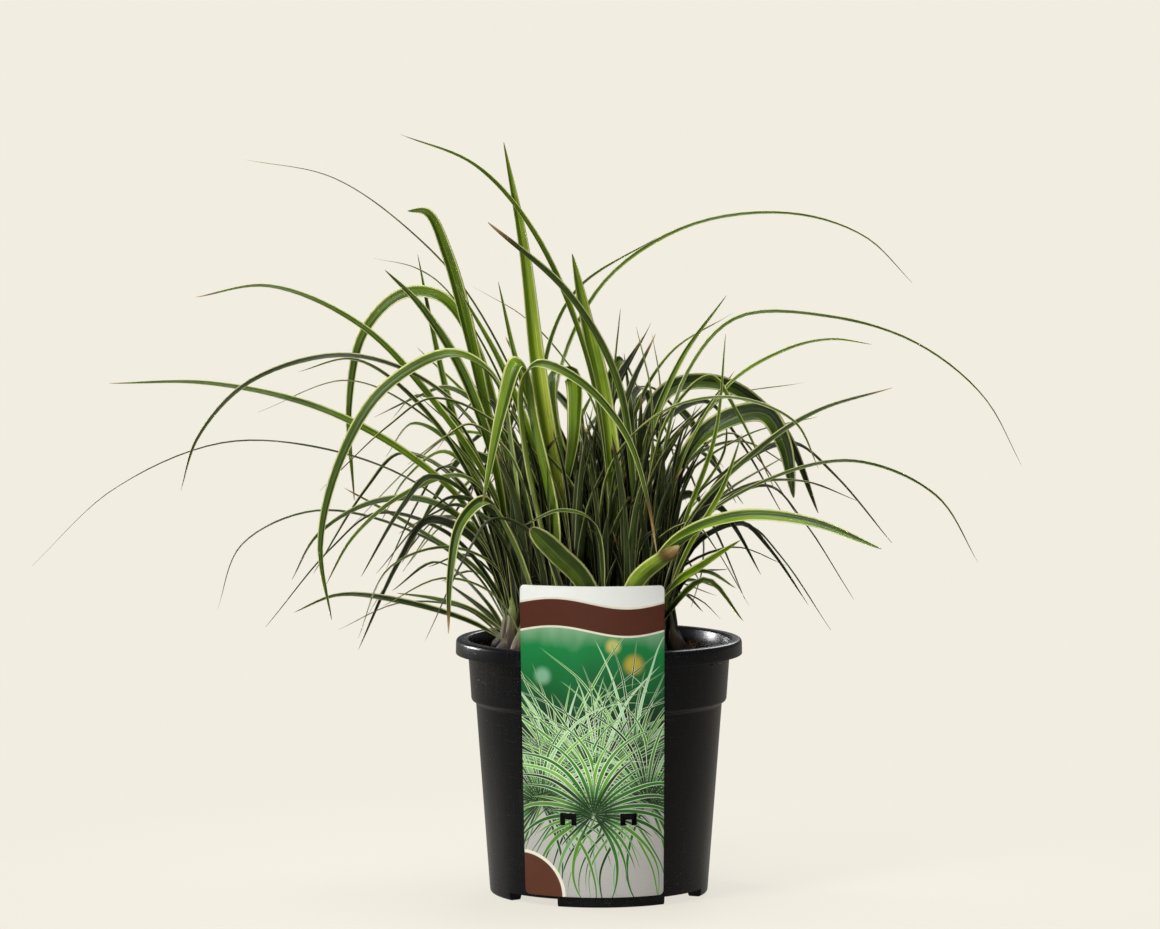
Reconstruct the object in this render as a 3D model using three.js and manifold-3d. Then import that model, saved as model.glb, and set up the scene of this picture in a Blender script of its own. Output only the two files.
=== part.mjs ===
// A variegated carex sedge growing in a nursery pot, with its plant label.
//
// Units are millimetres and +Z is up. The origin is the centre of the pot's base, where it stands,
// and the label is on the -Y side. The pot, the soil and the label are simple turned or wrapped
// solids. The sedge is a clump of leafy shoots, each a short sheath with its leaves fused into it,
// standing in a plain hole in the soil.

import * as THREE from 'three';
import { mergeVertices } from 'three/addons/utils/BufferGeometryUtils.js';
import Module from 'manifold-3d';

const wasm = await Module();
wasm.setup();
const { Manifold, Mesh: SolidMesh } = wasm;

// ---------------------------------------------------------------- driving dimensions

const GAP = 0.35; // air kept between pieces that touch
const DEG = Math.PI / 180;

// pot
const POT_SIDES = 36;
const RIM_RADIUS = 85.4;
const RIM_TOP = 152;
const LIP_DROP = 9;
const WALL = 1.3;
const COLLAR_RADIUS = 78.2;
const STEP_TOP = 117;
const STEP_BOTTOM = 114;
const BODY_RADIUS = 73.4;
const BASE_RADIUS = 65;
const BASE_RECESS = 5;
const FLOOR_THICK = 1.6;
const PAD_RADIUS = 20;
const FOOT_WIDTH = 7.5;
const NOTCH_ANGLES = [52, 142, 232, 322]; // degrees round from +X
const NOTCH_HALF_ANGLE = 16;
const NOTCH_HEIGHT = 4.7;
const DRAIN_HOLES = 8;
const DRAIN_RADIUS = 4.5;
const DRAIN_CIRCLE = 38;
const DRAIN_SIDES = 10;

// soil
const SOIL_SIDES = 28;
const SOIL_EDGE_Z = 139.5;
const SOIL_MOUND = 10;
const SOIL_LUMP = 0.9;
const SOIL_RINGS = [1, 0.82, 0.6, 0.36, 0]; // shares of the radius
const SOIL_INSET = 2.1; // the wall and the air between it and the soil

// label card
const CARD_WIDTH = 87;
const CARD_BOTTOM = 6.6;
const CARD_TOP = 192;
const CARD_THICK = 0.7;
const CARD_FOOT_RADIUS = 66.6;
const CARD_CORNER = 3;
const CARD_TURN = -93; // degrees round from +X to the middle of the card
const TONGUE_HALF_ANGLE = 9;
const TONGUE_THICK = 0.7;
const TONGUE_DEPTH = 9; // how far it reaches down inside the rim
const TONGUE_INSET = 3.2; // from the collar's outer side to the back of the tongue
const TONGUE_SINK = 0.4; // its ends lie this deep in each other and in the card

// crown: shoots stand in rings round its middle
const CROWN_X = -6;
const RINGS = [
  { radius: 0, count: 1, start: 0, fillers: 7, spread: 180 },
  { radius: 15, count: 6, start: 0, fillers: 6, spread: 150 },
  { radius: 30, count: 12, start: 15, fillers: 7, spread: 95 },
  { radius: 46, count: 18, start: 0, fillers: 6, spread: 70 },
];
const SHEATH_SIDES = 3; // a sedge's stem is three-sided
const SHEATH_RADIUS = 4.8;
const SHEATH_TOP_RADIUS = 4;
const SHEATH_HEIGHT = 15;
const HOLE_DEPTH = 12;
const LEAF_START = 4; // height of a leaf's root above the soil, inside the sheath
const SEAT_LOW = 2.3; // a low leaf's root is this far from the sheath's axis, on the side it leaves by
const SEAT_STEEP = -1.2; // and an upright leaf's root is here
const FLAT_START = 0.3; // first slope of the lowest leaves, as a share of a right angle

// leaf section
const ROOT_WIDTH = 2.8;
const KEEL_SHARE = 0.17; // keel depth as a share of leaf width
const KEEL_LEAST = 0.75;
const WIDENS_BY = 0.25; // share of its length over which a leaf reaches full width
const LEAST_STEPS = 3; // straight steps in a leaf that only fills; it has one more for each bend over these
const LEADING_EXTRA = 1; // further steps in a leaf that stands out

// ---------------------------------------------------------------- solids

function solidFrom(geometry) {
  const plain = geometry.clone();
  plain.deleteAttribute('normal');
  plain.deleteAttribute('uv');
  const merged = mergeVertices(plain, 1e-4);
  const corners = merged.index.array;
  const faces = [];
  for (let i = 0; i < corners.length; i += 3) {
    const [a, b, c] = corners.slice(i, i + 3);
    if (a !== b && b !== c && c !== a) faces.push(a, b, c);
  }
  const places = new Float32Array(merged.attributes.position.array);
  if (signedVolume(places, faces) < 0) faces.reverse();
  return new Manifold(new SolidMesh({
    numProp: 3,
    vertProperties: places,
    triVerts: new Uint32Array(faces),
  }));
}

function signedVolume(places, faces) {
  const corner = (i) => new THREE.Vector3().fromArray(places, 3 * faces[i]);
  let total = 0;
  for (let i = 0; i < faces.length; i += 3) {
    total += corner(i).dot(corner(i + 1).cross(corner(i + 2)));
  }
  return total / 6;
}

function geometryFrom(solid) {
  const mesh = solid.getMesh();
  const geometry = new THREE.BufferGeometry();
  geometry.setAttribute('position', new THREE.BufferAttribute(mesh.vertProperties, 3));
  geometry.setIndex(new THREE.BufferAttribute(mesh.triVerts, 1));
  geometry.computeVertexNormals();
  return geometry;
}

function turned(profile, sides) {
  const points = profile.map(([radius, height]) => new THREE.Vector2(radius, height));
  return new THREE.LatheGeometry(points, sides).rotateX(Math.PI / 2);
}

function ringSector(inner, outer, middleDeg, halfDeg, low, high) {
  const shape = new THREE.Shape();
  const from = (middleDeg - halfDeg) * DEG;
  const to = (middleDeg + halfDeg) * DEG;
  shape.absarc(0, 0, outer, from, to, false);
  shape.absarc(0, 0, inner, to, from, true);
  const settings = { depth: high - low, bevelEnabled: false, curveSegments: 6 };
  return solidFrom(new THREE.ExtrudeGeometry(shape, settings).translate(0, 0, low));
}

function upright(radius, topRadius, sides, x, y, low, high) {
  const prism = new THREE.CylinderGeometry(topRadius, radius, high - low, sides);
  return solidFrom(prism.rotateX(Math.PI / 2).translate(x, y, (low + high) / 2));
}

function seeded(seed) {
  let state = seed;
  return () => {
    state = (Math.imul(state, 1664525) + 1013904223) >>> 0;
    return state / 4294967296;
  };
}

// ---------------------------------------------------------------- pot

function makePot() {
  const lipInner = RIM_RADIUS - WALL;
  const floor = BASE_RECESS + FLOOR_THICK;
  const profile = [
    [0, 0],
    [PAD_RADIUS, 0],
    [PAD_RADIUS + 1.5, BASE_RECESS],
    [BASE_RADIUS - FOOT_WIDTH - 1.5, BASE_RECESS],
    [BASE_RADIUS - FOOT_WIDTH, 0],
    [BASE_RADIUS - 1.5, 0],
    [BASE_RADIUS, 1.5],
    [BODY_RADIUS - 0.2, STEP_BOTTOM - 1.5],
    [BODY_RADIUS + 0.4, STEP_BOTTOM],
    [BODY_RADIUS + 2.3, STEP_BOTTOM + 1],
    [BODY_RADIUS + 2.9, STEP_TOP],
    [COLLAR_RADIUS, RIM_TOP - 6],
    [COLLAR_RADIUS + 1, RIM_TOP - 2],
    [lipInner - 1.3, RIM_TOP - 1.6],
    [lipInner - 0.4, RIM_TOP - 2.4],
    [lipInner, RIM_TOP - LIP_DROP],
    [RIM_RADIUS, RIM_TOP - LIP_DROP],
    [RIM_RADIUS - 0.4, RIM_TOP - 3],
    [RIM_RADIUS - 1.2, RIM_TOP - 0.8],
    [RIM_RADIUS - 2.6, RIM_TOP],
    [COLLAR_RADIUS + 1.2, RIM_TOP],
    [COLLAR_RADIUS, RIM_TOP - 1],
    [COLLAR_RADIUS - 1.2, RIM_TOP - 6],
    [BODY_RADIUS + 1.7, STEP_TOP + 0.5],
    [BODY_RADIUS + 1.2, STEP_TOP - 1],
    [BODY_RADIUS - 1, STEP_BOTTOM + 0.8],
    [BODY_RADIUS - 1.4, STEP_BOTTOM - 1],
    [BASE_RADIUS - 0.8, floor],
    [0, floor],
  ];
  let pot = solidFrom(turned(profile, POT_SIDES));
  for (const angle of NOTCH_ANGLES) {
    const inner = BASE_RADIUS - FOOT_WIDTH - 3;
    pot = pot.subtract(ringSector(inner, RIM_RADIUS, angle, NOTCH_HALF_ANGLE, -1, NOTCH_HEIGHT));
  }
  for (let i = 0; i < DRAIN_HOLES; i += 1) {
    const angle = (i + 0.5) * (360 / DRAIN_HOLES) * DEG;
    const x = DRAIN_CIRCLE * Math.cos(angle);
    const y = DRAIN_CIRCLE * Math.sin(angle);
    pot = pot.subtract(upright(DRAIN_RADIUS, DRAIN_RADIUS, DRAIN_SIDES, x, y, BASE_RECESS - 1, floor + 1));
  }
  return pot;
}

// ---------------------------------------------------------------- crown and soil

function soilHeight(x, y) {
  const share = Math.hypot(x, y) / COLLAR_RADIUS;
  return SOIL_EDGE_Z + SOIL_MOUND * (1 - share * share);
}

function makeStands() {
  return RINGS.flatMap((ring, level) => Array.from({ length: ring.count }, (_, place) => {
    const angle = ring.start + (360 * place) / ring.count;
    const x = CROWN_X + ring.radius * Math.cos(angle * DEG);
    const y = ring.radius * Math.sin(angle * DEG);
    const name = `shoot_${level}_${String(place).padStart(2, '0')}`;
    return { name, ring, angle, x, y, z: soilHeight(x, y) };
  }));
}

function makeSoil(stands) {
  const floor = BASE_RECESS + FLOOR_THICK + GAP;
  const edge = COLLAR_RADIUS - SOIL_INSET;
  const profile = [
    [0, floor],
    [BASE_RADIUS - 1.6, floor],
    [BODY_RADIUS - SOIL_INSET, STEP_BOTTOM + 0.5],
    [BODY_RADIUS + 0.9, STEP_TOP + 1.5],
    ...SOIL_RINGS.map((share) => [edge * share, SOIL_EDGE_Z]),
  ];
  const geometry = turned(profile, SOIL_SIDES);
  const places = geometry.attributes.position;
  for (let i = 0; i < places.count; i += 1) {
    if (places.getZ(i) < SOIL_EDGE_Z - 1) continue;
    const x = places.getX(i);
    const y = places.getY(i);
    const lump = Math.sin(0.23 * x + 1.1) * Math.cos(0.27 * y - 0.4) + Math.sin(0.31 * (x - y));
    places.setZ(i, soilHeight(x, y) + SOIL_LUMP * lump);
  }
  let soil = solidFrom(geometry);
  for (const stand of stands) {
    const radius = SHEATH_RADIUS + 2 * GAP;
    const bottom = stand.z - HOLE_DEPTH;
    soil = soil.subtract(upright(radius, radius, SHEATH_SIDES, stand.x, stand.y, bottom, RIM_TOP));
  }
  return soil;
}

// ---------------------------------------------------------------- label

function cardRadius(z) {
  const touch = RIM_TOP - LIP_DROP;
  const slope = (RIM_RADIUS + GAP - CARD_FOOT_RADIUS) / (touch - CARD_BOTTOM);
  return CARD_FOOT_RADIUS + slope * (z - CARD_BOTTOM);
}

function makeLabel() {
  const columns = [0, 0.4, 1.3, 3, 10, 18, 26, 34.5, 43.5];
  const across = [...columns, ...columns.map((u) => CARD_WIDTH - u).reverse().slice(1)];
  const rows = 4;
  const places = [];
  const faces = [];
  for (const u of across) {
    const fromSide = Math.min(u, CARD_WIDTH - u, CARD_CORNER);
    const cut = CARD_CORNER - Math.sqrt(CARD_CORNER ** 2 - (CARD_CORNER - fromSide) ** 2);
    for (let row = 0; row <= rows; row += 1) {
      const z = CARD_BOTTOM + cut + ((CARD_TOP - CARD_BOTTOM - 2 * cut) * row) / rows;
      for (const radius of [cardRadius(z), cardRadius(z) + CARD_THICK]) {
        const angle = CARD_TURN * DEG + (u - CARD_WIDTH / 2) / radius;
        places.push(radius * Math.cos(angle), radius * Math.sin(angle), z);
      }
    }
  }
  const at = (column, row, side) => 2 * (column * (rows + 1) + row) + side;
  const quad = (a, b, c, d) => faces.push(a, b, c, a, c, d);
  const last = across.length - 1;
  for (let column = 0; column < last; column += 1) {
    for (let row = 0; row < rows; row += 1) {
      const next = column + 1;
      quad(at(column, row, 1), at(next, row, 1), at(next, row + 1, 1), at(column, row + 1, 1));
      quad(at(column, row + 1, 0), at(next, row + 1, 0), at(next, row, 0), at(column, row, 0));
    }
    quad(at(column, 0, 0), at(column + 1, 0, 0), at(column + 1, 0, 1), at(column, 0, 1));
    quad(at(column, rows, 1), at(column + 1, rows, 1), at(column + 1, rows, 0), at(column, rows, 0));
  }
  for (let row = 0; row < rows; row += 1) {
    quad(at(0, row, 0), at(0, row, 1), at(0, row + 1, 1), at(0, row + 1, 0));
    quad(at(last, row + 1, 0), at(last, row + 1, 1), at(last, row, 1), at(last, row, 0));
  }
  const geometry = new THREE.BufferGeometry();
  geometry.setAttribute('position', new THREE.Float32BufferAttribute(places, 3));
  geometry.setIndex(faces);

  // the tongue runs from the back of the card over the lip and down inside it
  const over = RIM_TOP + GAP + 0.1;
  const inside = COLLAR_RADIUS - TONGUE_INSET;
  const reach = cardRadius(over) + TONGUE_SINK;
  const bridge = ringSector(inside, reach, CARD_TURN, TONGUE_HALF_ANGLE, over, over + TONGUE_THICK);
  const low = RIM_TOP - TONGUE_DEPTH;
  const wall = inside + TONGUE_THICK;
  const hook = ringSector(inside, wall, CARD_TURN, TONGUE_HALF_ANGLE, low, over + TONGUE_SINK);
  return solidFrom(geometry).add(bridge).add(hook);
}

// ---------------------------------------------------------------- leaves

// A leaf that stands out is given by hand. Its row holds the ring and place of its shoot, its width,
// how far its face turns to the front in degrees, how blunt its tip is, how far back its tip lies,
// and its route after the root as [x, z] pairs.
const LEADING_LEAVES = [
  // high leaves of the left side
  ['2_03', 3.5, 20, 1.0, 60, [[-35, 265], [-75, 350], [-110, 390], [-160, 425], [-215, 436]]],
  ['2_05', 10.5, 60, 2.4, 10, [[-60, 255], [-75, 325], [-90, 380], [-102, 405], [-114, 406]]],
  ['3_10', 8.5, 65, 1.8, -10, [[-60, 250], [-80, 310], [-105, 350], [-127, 372]]],
  ['2_06', 7.5, 45, 1.5, -30, [[-60, 235], [-95, 290], [-140, 338], [-195, 362], [-240, 355]]],
  ['3_07', 8.5, 65, 3.4, 30,
    [[-55, 256], [-74, 325], [-94, 354], [-118, 356], [-141, 333], [-150, 290], [-147, 230]]],
  ['3_08', 6, 75, 1.6, 30, [[-65, 220], [-88, 285], [-100, 335], [-109, 380]]],
  ['3_06', 3, 20, 1.0, 70, [[-50, 280], [-90, 355], [-110, 370], [-137, 376]]],
  ['2_07', 7, 65, 1.6, -10, [[-35, 250], [-55, 310], [-85, 364]]],
  ['1_04', 6, 80, 1.8, 0, [[-25, 250], [-47, 310], [-60, 365]]],
  ['1_02', 3, 15, 1.0, 40, [[0, 280], [-23, 320], [-45, 342], [-76, 360]]],
  // long arches of the left side
  ['3_09', 8, 45, 1.8, -20, [[-75, 225], [-110, 260], [-165, 290], [-230, 305], [-290, 305]]],
  ['3_09', 3.2, 25, 1.0, 10, [[-70, 210], [-110, 245], [-165, 265], [-225, 268], [-290, 240], [-340, 193]]],
  ['2_05', 6.5, 35, 1.8, -50, [[-60, 260], [-100, 305], [-150, 322], [-205, 307], [-235, 275], [-245, 243]]],
  ['3_10', 5.5, 35, 1.5, 10, [[-70, 235], [-105, 290], [-145, 318], [-180, 310]]],
  ['2_06', 4, 20, 1.1, 20, [[-65, 240], [-105, 285], [-150, 305], [-205, 285]]],
  ['3_11', 10, 40, 2.2, -80,
    [[-50, 265], [-60, 310], [-85, 325], [-125, 305], [-150, 265], [-162, 215], [-155, 170]]],
  ['3_10', 7, 45, 1.6, 20, [[-70, 212], [-100, 234], [-135, 233], [-168, 213], [-184, 185]]],
  ['3_09', 6, 35, 1.6, -30, [[-60, 225], [-80, 250], [-115, 240], [-145, 215], [-162, 185]]],
  ['3_08', 4, 25, 1.3, 30, [[-75, 190], [-115, 215], [-170, 226], [-215, 205], [-230, 165]]],
  // short leaves of the left side
  ['3_08', 4.5, 25, 5, 50, [[-70, 187], [-110, 214], [-155, 238]]],
  ['3_10', 4.5, 25, 1.6, -20, [[-60, 195], [-90, 208], [-125, 195], [-143, 153]]],
  ['3_09', 3.5, 20, 1.2, 40, [[-80, 168], [-120, 170], [-158, 152]]],
  ['3_10', 7, 40, 1.6, -20, [[-75, 163], [-120, 176], [-155, 179], [-182, 168]]],
  ['3_08', 6, 40, 1.6, 10, [[-75, 166], [-98, 173], [-122, 176]]],
  ['3_11', 4, 25, 1.4, -50, [[-62, 182], [-92, 192], [-127, 176]]],
  ['3_08', 5, 40, 1.6, 60, [[-70, 165], [-94, 180]]],
  ['3_09', 5.5, 40, 1.5, 20, [[-72, 245], [-92, 271], [-112, 279], [-128, 258]]],
  ['3_08', 4.5, 30, 1.5, 40, [[-75, 265], [-95, 290], [-110, 295], [-125, 280]]],
  ['3_09', 5, 35, 1.5, -40, [[-70, 240], [-92, 263], [-115, 247], [-130, 221]]],
  // leaves of the middle
  ['2_08', 14, 85, 1.5, -40, [[-20, 220], [-35, 310], [-44, 385], [-56, 448]]],
  ['2_10', 13, 80, 2.2, -20, [[12, 225], [2, 300], [-8, 345], [-16, 382]]],
  ['2_09', 7.5, 55, 1.3, -60, [[5, 250], [-8, 325], [-38, 395], [-72, 434], [-116, 452]]],
  ['2_11', 5, -30, 12, -80, [[20, 250], [10, 310], [-18, 360], [-65, 402]]],
  ['3_12', 15, 30, 2.6, -70, [[-25, 220], [-37, 285], [-42, 316], [-48, 320], [-57, 292], [-68, 237]]],
  ['1_05', 14, 15, 5, -32, [[-12, 230], [-27, 285], [-26, 310], [-17, 311], [-15, 280], [-21, 238]]],
  ['3_13', 7, 60, 1.8, -112,
    [[-42, 260], [-45, 310], [-36, 320], [-10, 309], [15, 280], [27, 245], [33, 211]]],
  ['3_12', 8.5, 50, 2.2, -110, [[-50, 215], [-65, 240], [-80, 228], [-86, 200], [-87, 165]]],
  ['3_14', 13, -50, 12, -90, [[-8, 190], [-24, 209], [-40, 226]]],
  ['3_14', 5, 40, 1.6, -95, [[-2, 225], [-22, 235], [-43, 228]]],
  ['1_00', 6, 80, 1.8, 20, [[8, 250], [9, 305], [13, 348]]],
  ['2_01', 10, 50, 2.0, 50, [[5, 250], [8, 305], [14, 316], [25, 296]]],
  ['2_00', 3, 60, 1.2, 50, [[35, 250], [37, 300], [32, 332]]],
  ['2_11', 5, 80, 1.6, 0, [[30, 240], [31, 295], [22, 338]]],
  // high leaves of the right side
  ['2_04', 5.5, 40, 1.1, 40,
    [[-30, 250], [-22, 315], [5, 365], [55, 397], [115, 404], [160, 390], [190, 361]]],
  ['3_07', 6, 50, 1.3, 20, [[-35, 270], [-30, 325], [-12, 360], [35, 390]]],
  ['2_11', 5.5, 35, 1.1, 20,
    [[35, 245], [52, 310], [82, 343], [140, 343], [190, 327], [230, 295], [254, 252]]],
  ['2_10', 6, 65, 1.5, 0, [[25, 255], [48, 315], [77, 355]]],
  ['2_00', 4, 20, 1.2, 60, [[18, 270], [42, 318], [82, 343]]],
  ['3_00', 5, 45, 1.2, -20, [[45, 245], [75, 302], [111, 325], [137, 331], [161, 328]]],
  ['3_17', 6, 75, 1.5, -40, [[48, 215], [68, 275], [74, 336]]],
  // arches of the right side
  ['2_09', 5, 30, 1.5, -70, [[5, 255], [35, 290], [75, 300], [112, 287], [126, 260]]],
  ['2_00', 11, 72, 3.5, 40, [[24, 250], [40, 298], [75, 302], [110, 275], [133, 222]]],
  ['3_01', 13, 72, 5, 0, [[42, 240], [65, 276], [98, 286], [110, 268], [116, 235]]],
  ['3_16', 7.5, 40, 1.8, -60, [[52, 225], [94, 269], [127, 291], [171, 305]]],
  ['3_17', 4.5, 40, 1.3, -40, [[52, 215], [98, 248], [150, 260], [198, 240], [223, 200]]],
  ['3_15', 10, 55, 2.6, -110, [[36, 210], [76, 231], [120, 230], [162, 215]]],
  ['2_00', 4, 25, 1.1, 60, [[32, 245], [70, 290], [125, 301]]],
  ['3_01', 4, 25, 1.1, 40, [[46, 238], [88, 270], [133, 281]]],
  ['3_02', 4.5, 30, 1.4, 60, [[50, 250], [85, 266], [121, 247]]],
  ['3_00', 5, 30, 1.2, -20, [[48, 212], [85, 243], [120, 247], [154, 235]]],
  // short leaves of the right side
  ['3_16', 6, 70, 1.8, -50, [[50, 205], [72, 245], [83, 278]]],
  ['3_01', 3, 60, 1.4, 20, [[50, 220], [75, 262], [76, 289]]],
  ['3_16', 10, 55, 2.4, -80, [[40, 185], [60, 202], [82, 218]]],
  ['3_15', 8, 55, 2.2, -70, [[25, 195], [48, 215], [73, 232]]],
  ['3_17', 5.5, 40, 1.8, -70, [[42, 188], [62, 196], [80, 187]]],
  ['3_00', 4, 25, 1.2, 20, [[42, 186], [80, 205], [113, 193]]],
  ['3_01', 5.5, 60, 1.8, 45, [[48, 200], [62, 212], [63, 190], [56, 165]]],
  ['3_17', 2.8, 20, 1.0, -30, [[44, 181], [60, 177], [72, 166]]],
  ['3_15', 10.5, -45, 9, -95, [[20, 190], [46, 216]]],
];

// joining a shoot: how far its surface may move, and the nudges that keep its corners apart
const TIDY_TOLERANCE = 0.1;
const NUDGE = 0.1;
const NUDGE_TRIES = 40;
const NUDGE_SEED = 23;
const CORNERS_APART = 0.001;
const SHORTEST_EDGE = 0.012;

// how a leaf moves to stay clear of the shoots before it: its swings are tried in this order
const DEPTH_SWINGS = [0, 8, -8, 16, -16, 26, -26, 38, -38, 52, -52];
const ANGLE_SWINGS = [0, 6, -6, 12, -12, 20, -20, 30, -30];
const LIFTS = [1, 0.87, 1.1];

const OPEN_FRONT = -0.35; // sine of the angle past which the leaves to the front only stand up

const mix = (low, high, share) => low + (high - low) * share;

function leadingLeaf(row, stand) {
  const [, width, face, blunt, tipDepth, route] = row;
  const routeFor = (depth) => route.map(([x, z], i) => {
    const along = (i + 1) / route.length;
    return new THREE.Vector3(x, mix(stand.y, tipDepth + depth, along), z);
  });
  const steps = route.length + LEADING_EXTRA;
  return { stand, width, face, blunt, steps, routeFor, swings: DEPTH_SWINGS };
}

// The leaves between them follow a rule: some stand up, most arch over, and the outer shoots
// also have low ones. Leaves grow longer to the back than to the sides, and those to the front
// stand up clear of the card.
function fillingLeaf(stand, number, random) {
  const { fillers, spread, radius } = stand.ring;
  const fan = fillers > 1 ? number / (fillers - 1) - 0.5 : 0;
  const angle = stand.angle + 2 * spread * fan + mix(-12, 12, random());
  const kind = random();
  const a = random();
  const b = random();
  const c = random();
  const width = mix(4.2, 9, random());
  const face = mix(-30, 70, random());
  const towards = Math.sin(angle * DEG);
  const room = mix(0.62, 1.15, Math.max(0, towards));
  let arch;
  if (towards < OPEN_FRONT) {
    const reach = mix(10, 34, a);
    const rise = mix(60, 150, b);
    arch = [[0.1 * reach, 0.4 * rise], [0.42 * reach, 0.77 * rise], [reach, rise]];
  } else if (kind < 0.42) {
    const reach = mix(16, 60, a) + radius * 0.35;
    const rise = mix(95, 185, b);
    arch = [[0.1 * reach, 0.4 * rise], [0.42 * reach, 0.77 * rise], [reach, rise]];
  } else if (kind < 0.85 || radius < 40) {
    const reach = mix(95, 190, a) * room;
    const rise = mix(70, 160, b) * mix(0.8, 1, room);
    const fall = mix(15, 85, c);
    const crest = 0.55 * reach;
    arch = [
      [0.14 * crest, 0.45 * rise],
      [0.48 * crest, 0.86 * rise],
      [crest, rise],
      [0.62 * reach + 0.2 * crest, rise - 0.3 * fall],
      [reach, rise - fall],
    ];
  } else {
    const reach = mix(50, 115, a) * room;
    const rise = mix(22, 60, b);
    arch = [[0.2 * reach, 0.55 * rise], [0.6 * reach, rise], [reach, mix(0.35, 0.9, c) * rise]];
  }
  const routeFor = ({ swing, lift }) => arch.map(([out, up]) => {
    const turn = (angle + swing) * DEG;
    const x = stand.x + out * Math.cos(turn);
    const y = stand.y + out * Math.sin(turn);
    return new THREE.Vector3(x, y, stand.z + lift * up);
  });
  const swings = LIFTS.flatMap((lift) => ANGLE_SWINGS.map((swing) => ({ swing, lift })));
  const steps = Math.max(LEAST_STEPS, arch.length);
  return { stand, width, face, blunt: mix(1.2, 2.2, c), steps, routeFor, swings };
}

const smooth = (share) => share * share * (3 - 2 * share);

function leafWidth(leaf, along) {
  const start = Math.min(ROOT_WIDTH, leaf.width);
  const full = mix(start, leaf.width, smooth(Math.min(1, along / WIDENS_BY)));
  return full * (1 - along ** leaf.blunt) ** 0.7;
}

// Each station of a leaf is a triangle: its two edges and its keel. The last one is the tip.
function leafStations(leaf, swing, grow) {
  const { stand } = leaf;
  const outer = leaf.routeFor(swing);
  const tip = outer[outer.length - 1];
  const out = new THREE.Vector3(tip.x - stand.x, tip.y - stand.y, 0).normalize();
  const across = new THREE.Vector3(out.y, -out.x, 0);
  const [first] = outer;
  const firstOut = Math.hypot(first.x - stand.x, first.y - stand.y);
  const slope = Math.atan2(first.z - stand.z, firstOut) / (Math.PI / 2);
  const seat = mix(SEAT_LOW, SEAT_STEEP, Math.max(0, slope - FLAT_START) / (1 - FLAT_START));
  const root = new THREE.Vector3(stand.x, stand.y, stand.z + LEAF_START).addScaledVector(out, seat);
  const curve = new THREE.CatmullRomCurve3([root, ...outer], false, 'centripetal');
  return Array.from({ length: leaf.steps + 1 }, (_, i) => {
    const along = i / leaf.steps;
    const place = curve.getPoint(along);
    if (i === leaf.steps) return [place];
    const ahead = curve.getPoint(Math.min(1, along + 0.002));
    const heading = ahead.sub(curve.getPoint(Math.max(0, along - 0.002))).normalize();
    const level = across.clone().addScaledVector(heading, -across.dot(heading)).normalize();
    const upper = new THREE.Vector3().crossVectors(level, heading);
    const roll = leaf.face * DEG * Math.min(1, 2 * along) * (level.y > 0 ? -1 : 1);
    const normal = upper.multiplyScalar(Math.cos(roll)).addScaledVector(level, Math.sin(roll));
    const side = new THREE.Vector3().crossVectors(heading, normal);
    const width = leafWidth(leaf, along);
    const keel = Math.max(KEEL_LEAST, KEEL_SHARE * width);
    const lifted = place.clone().addScaledVector(normal, grow);
    return [
      lifted.clone().addScaledVector(side, -width / 2 - grow),
      lifted.clone().addScaledVector(side, width / 2 + grow),
      place.clone().addScaledVector(normal, -keel - 1.5 * grow),
    ];
  });
}

// Where a leaf twists, a side of a step isn't flat. It is split along the diagonal that bulges out,
// so that the sides of a thin blade never pass through each other.
function leafSolid(stations) {
  const points = stations.flat();
  const faces = [0, 1, 2];
  const tip = points.length - 1;
  for (let i = 0; i < stations.length - 1; i += 1) {
    for (let corner = 0; corner < 3; corner += 1) {
      const a = 3 * i + corner;
      const b = 3 * i + ((corner + 1) % 3);
      const c = a + 3;
      const d = b + 3;
      if (i === stations.length - 2) faces.push(a, tip, b);
      else if (liesOver(points[d], points[a], points[c], points[b])) faces.push(a, c, b, b, c, d);
      else faces.push(a, c, d, a, d, b);
    }
  }
  const geometry = new THREE.BufferGeometry();
  geometry.setFromPoints(points);
  geometry.setIndex(faces);
  return solidFrom(geometry);
}

function liesOver(point, a, b, c) {
  const up = b.clone().sub(a).cross(c.clone().sub(a));
  return point.clone().sub(a).dot(up) > 0;
}

// boxes round each step of a leaf, for a quick look at what it can't touch
function stepBoxes(stations) {
  return stations.slice(1).map((station, i) => new THREE.Box3().setFromPoints([...station, ...stations[i]]));
}

function meets(candidate, other) {
  const close = candidate.boxes.some((box) => other.boxes.some((wall) => wall.intersectsBox(box)));
  if (!close) return false;
  const shared = candidate.solid.intersect(other.solid);
  const touches = !shared.isEmpty();
  shared.delete();
  return touches;
}

function bodyFrom(stations, stand) {
  return { stand, boxes: stepBoxes(stations), solid: leafSolid(stations) };
}

// A leaf has to clear the other shoots. Past its first step it also clears its own shoot if it can.
function placeLeaf(leaf, obstacles) {
  const { stand } = leaf;
  const strangers = obstacles.filter((other) => other.stand !== stand);
  const sisters = obstacles.filter((other) => other.stand === stand && other.outer);
  let fallback = null;
  for (const swing of leaf.swings) {
    const wide = bodyFrom(leafStations(leaf, swing, GAP), stand);
    const blocked = strangers.some((other) => meets(wide, other));
    wide.solid.delete();
    if (blocked) continue;
    const stations = leafStations(leaf, swing, 0);
    const body = bodyFrom(stations, stand);
    body.outer = bodyFrom(stations.slice(1), stand);
    if (!sisters.some((other) => meets(body.outer, other.outer))) return body;
    fallback ??= body;
  }
  return fallback;
}

// ---------------------------------------------------------------- assembly

const stands = makeStands();
const pot = makePot();
const soil = makeSoil(stands);
const label = makeLabel();

function obstacleFrom(solid, stand) {
  const { min, max } = solid.boundingBox();
  const box = new THREE.Box3(new THREE.Vector3(...min), new THREE.Vector3(...max));
  return { stand, boxes: [box], solid };
}

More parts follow.
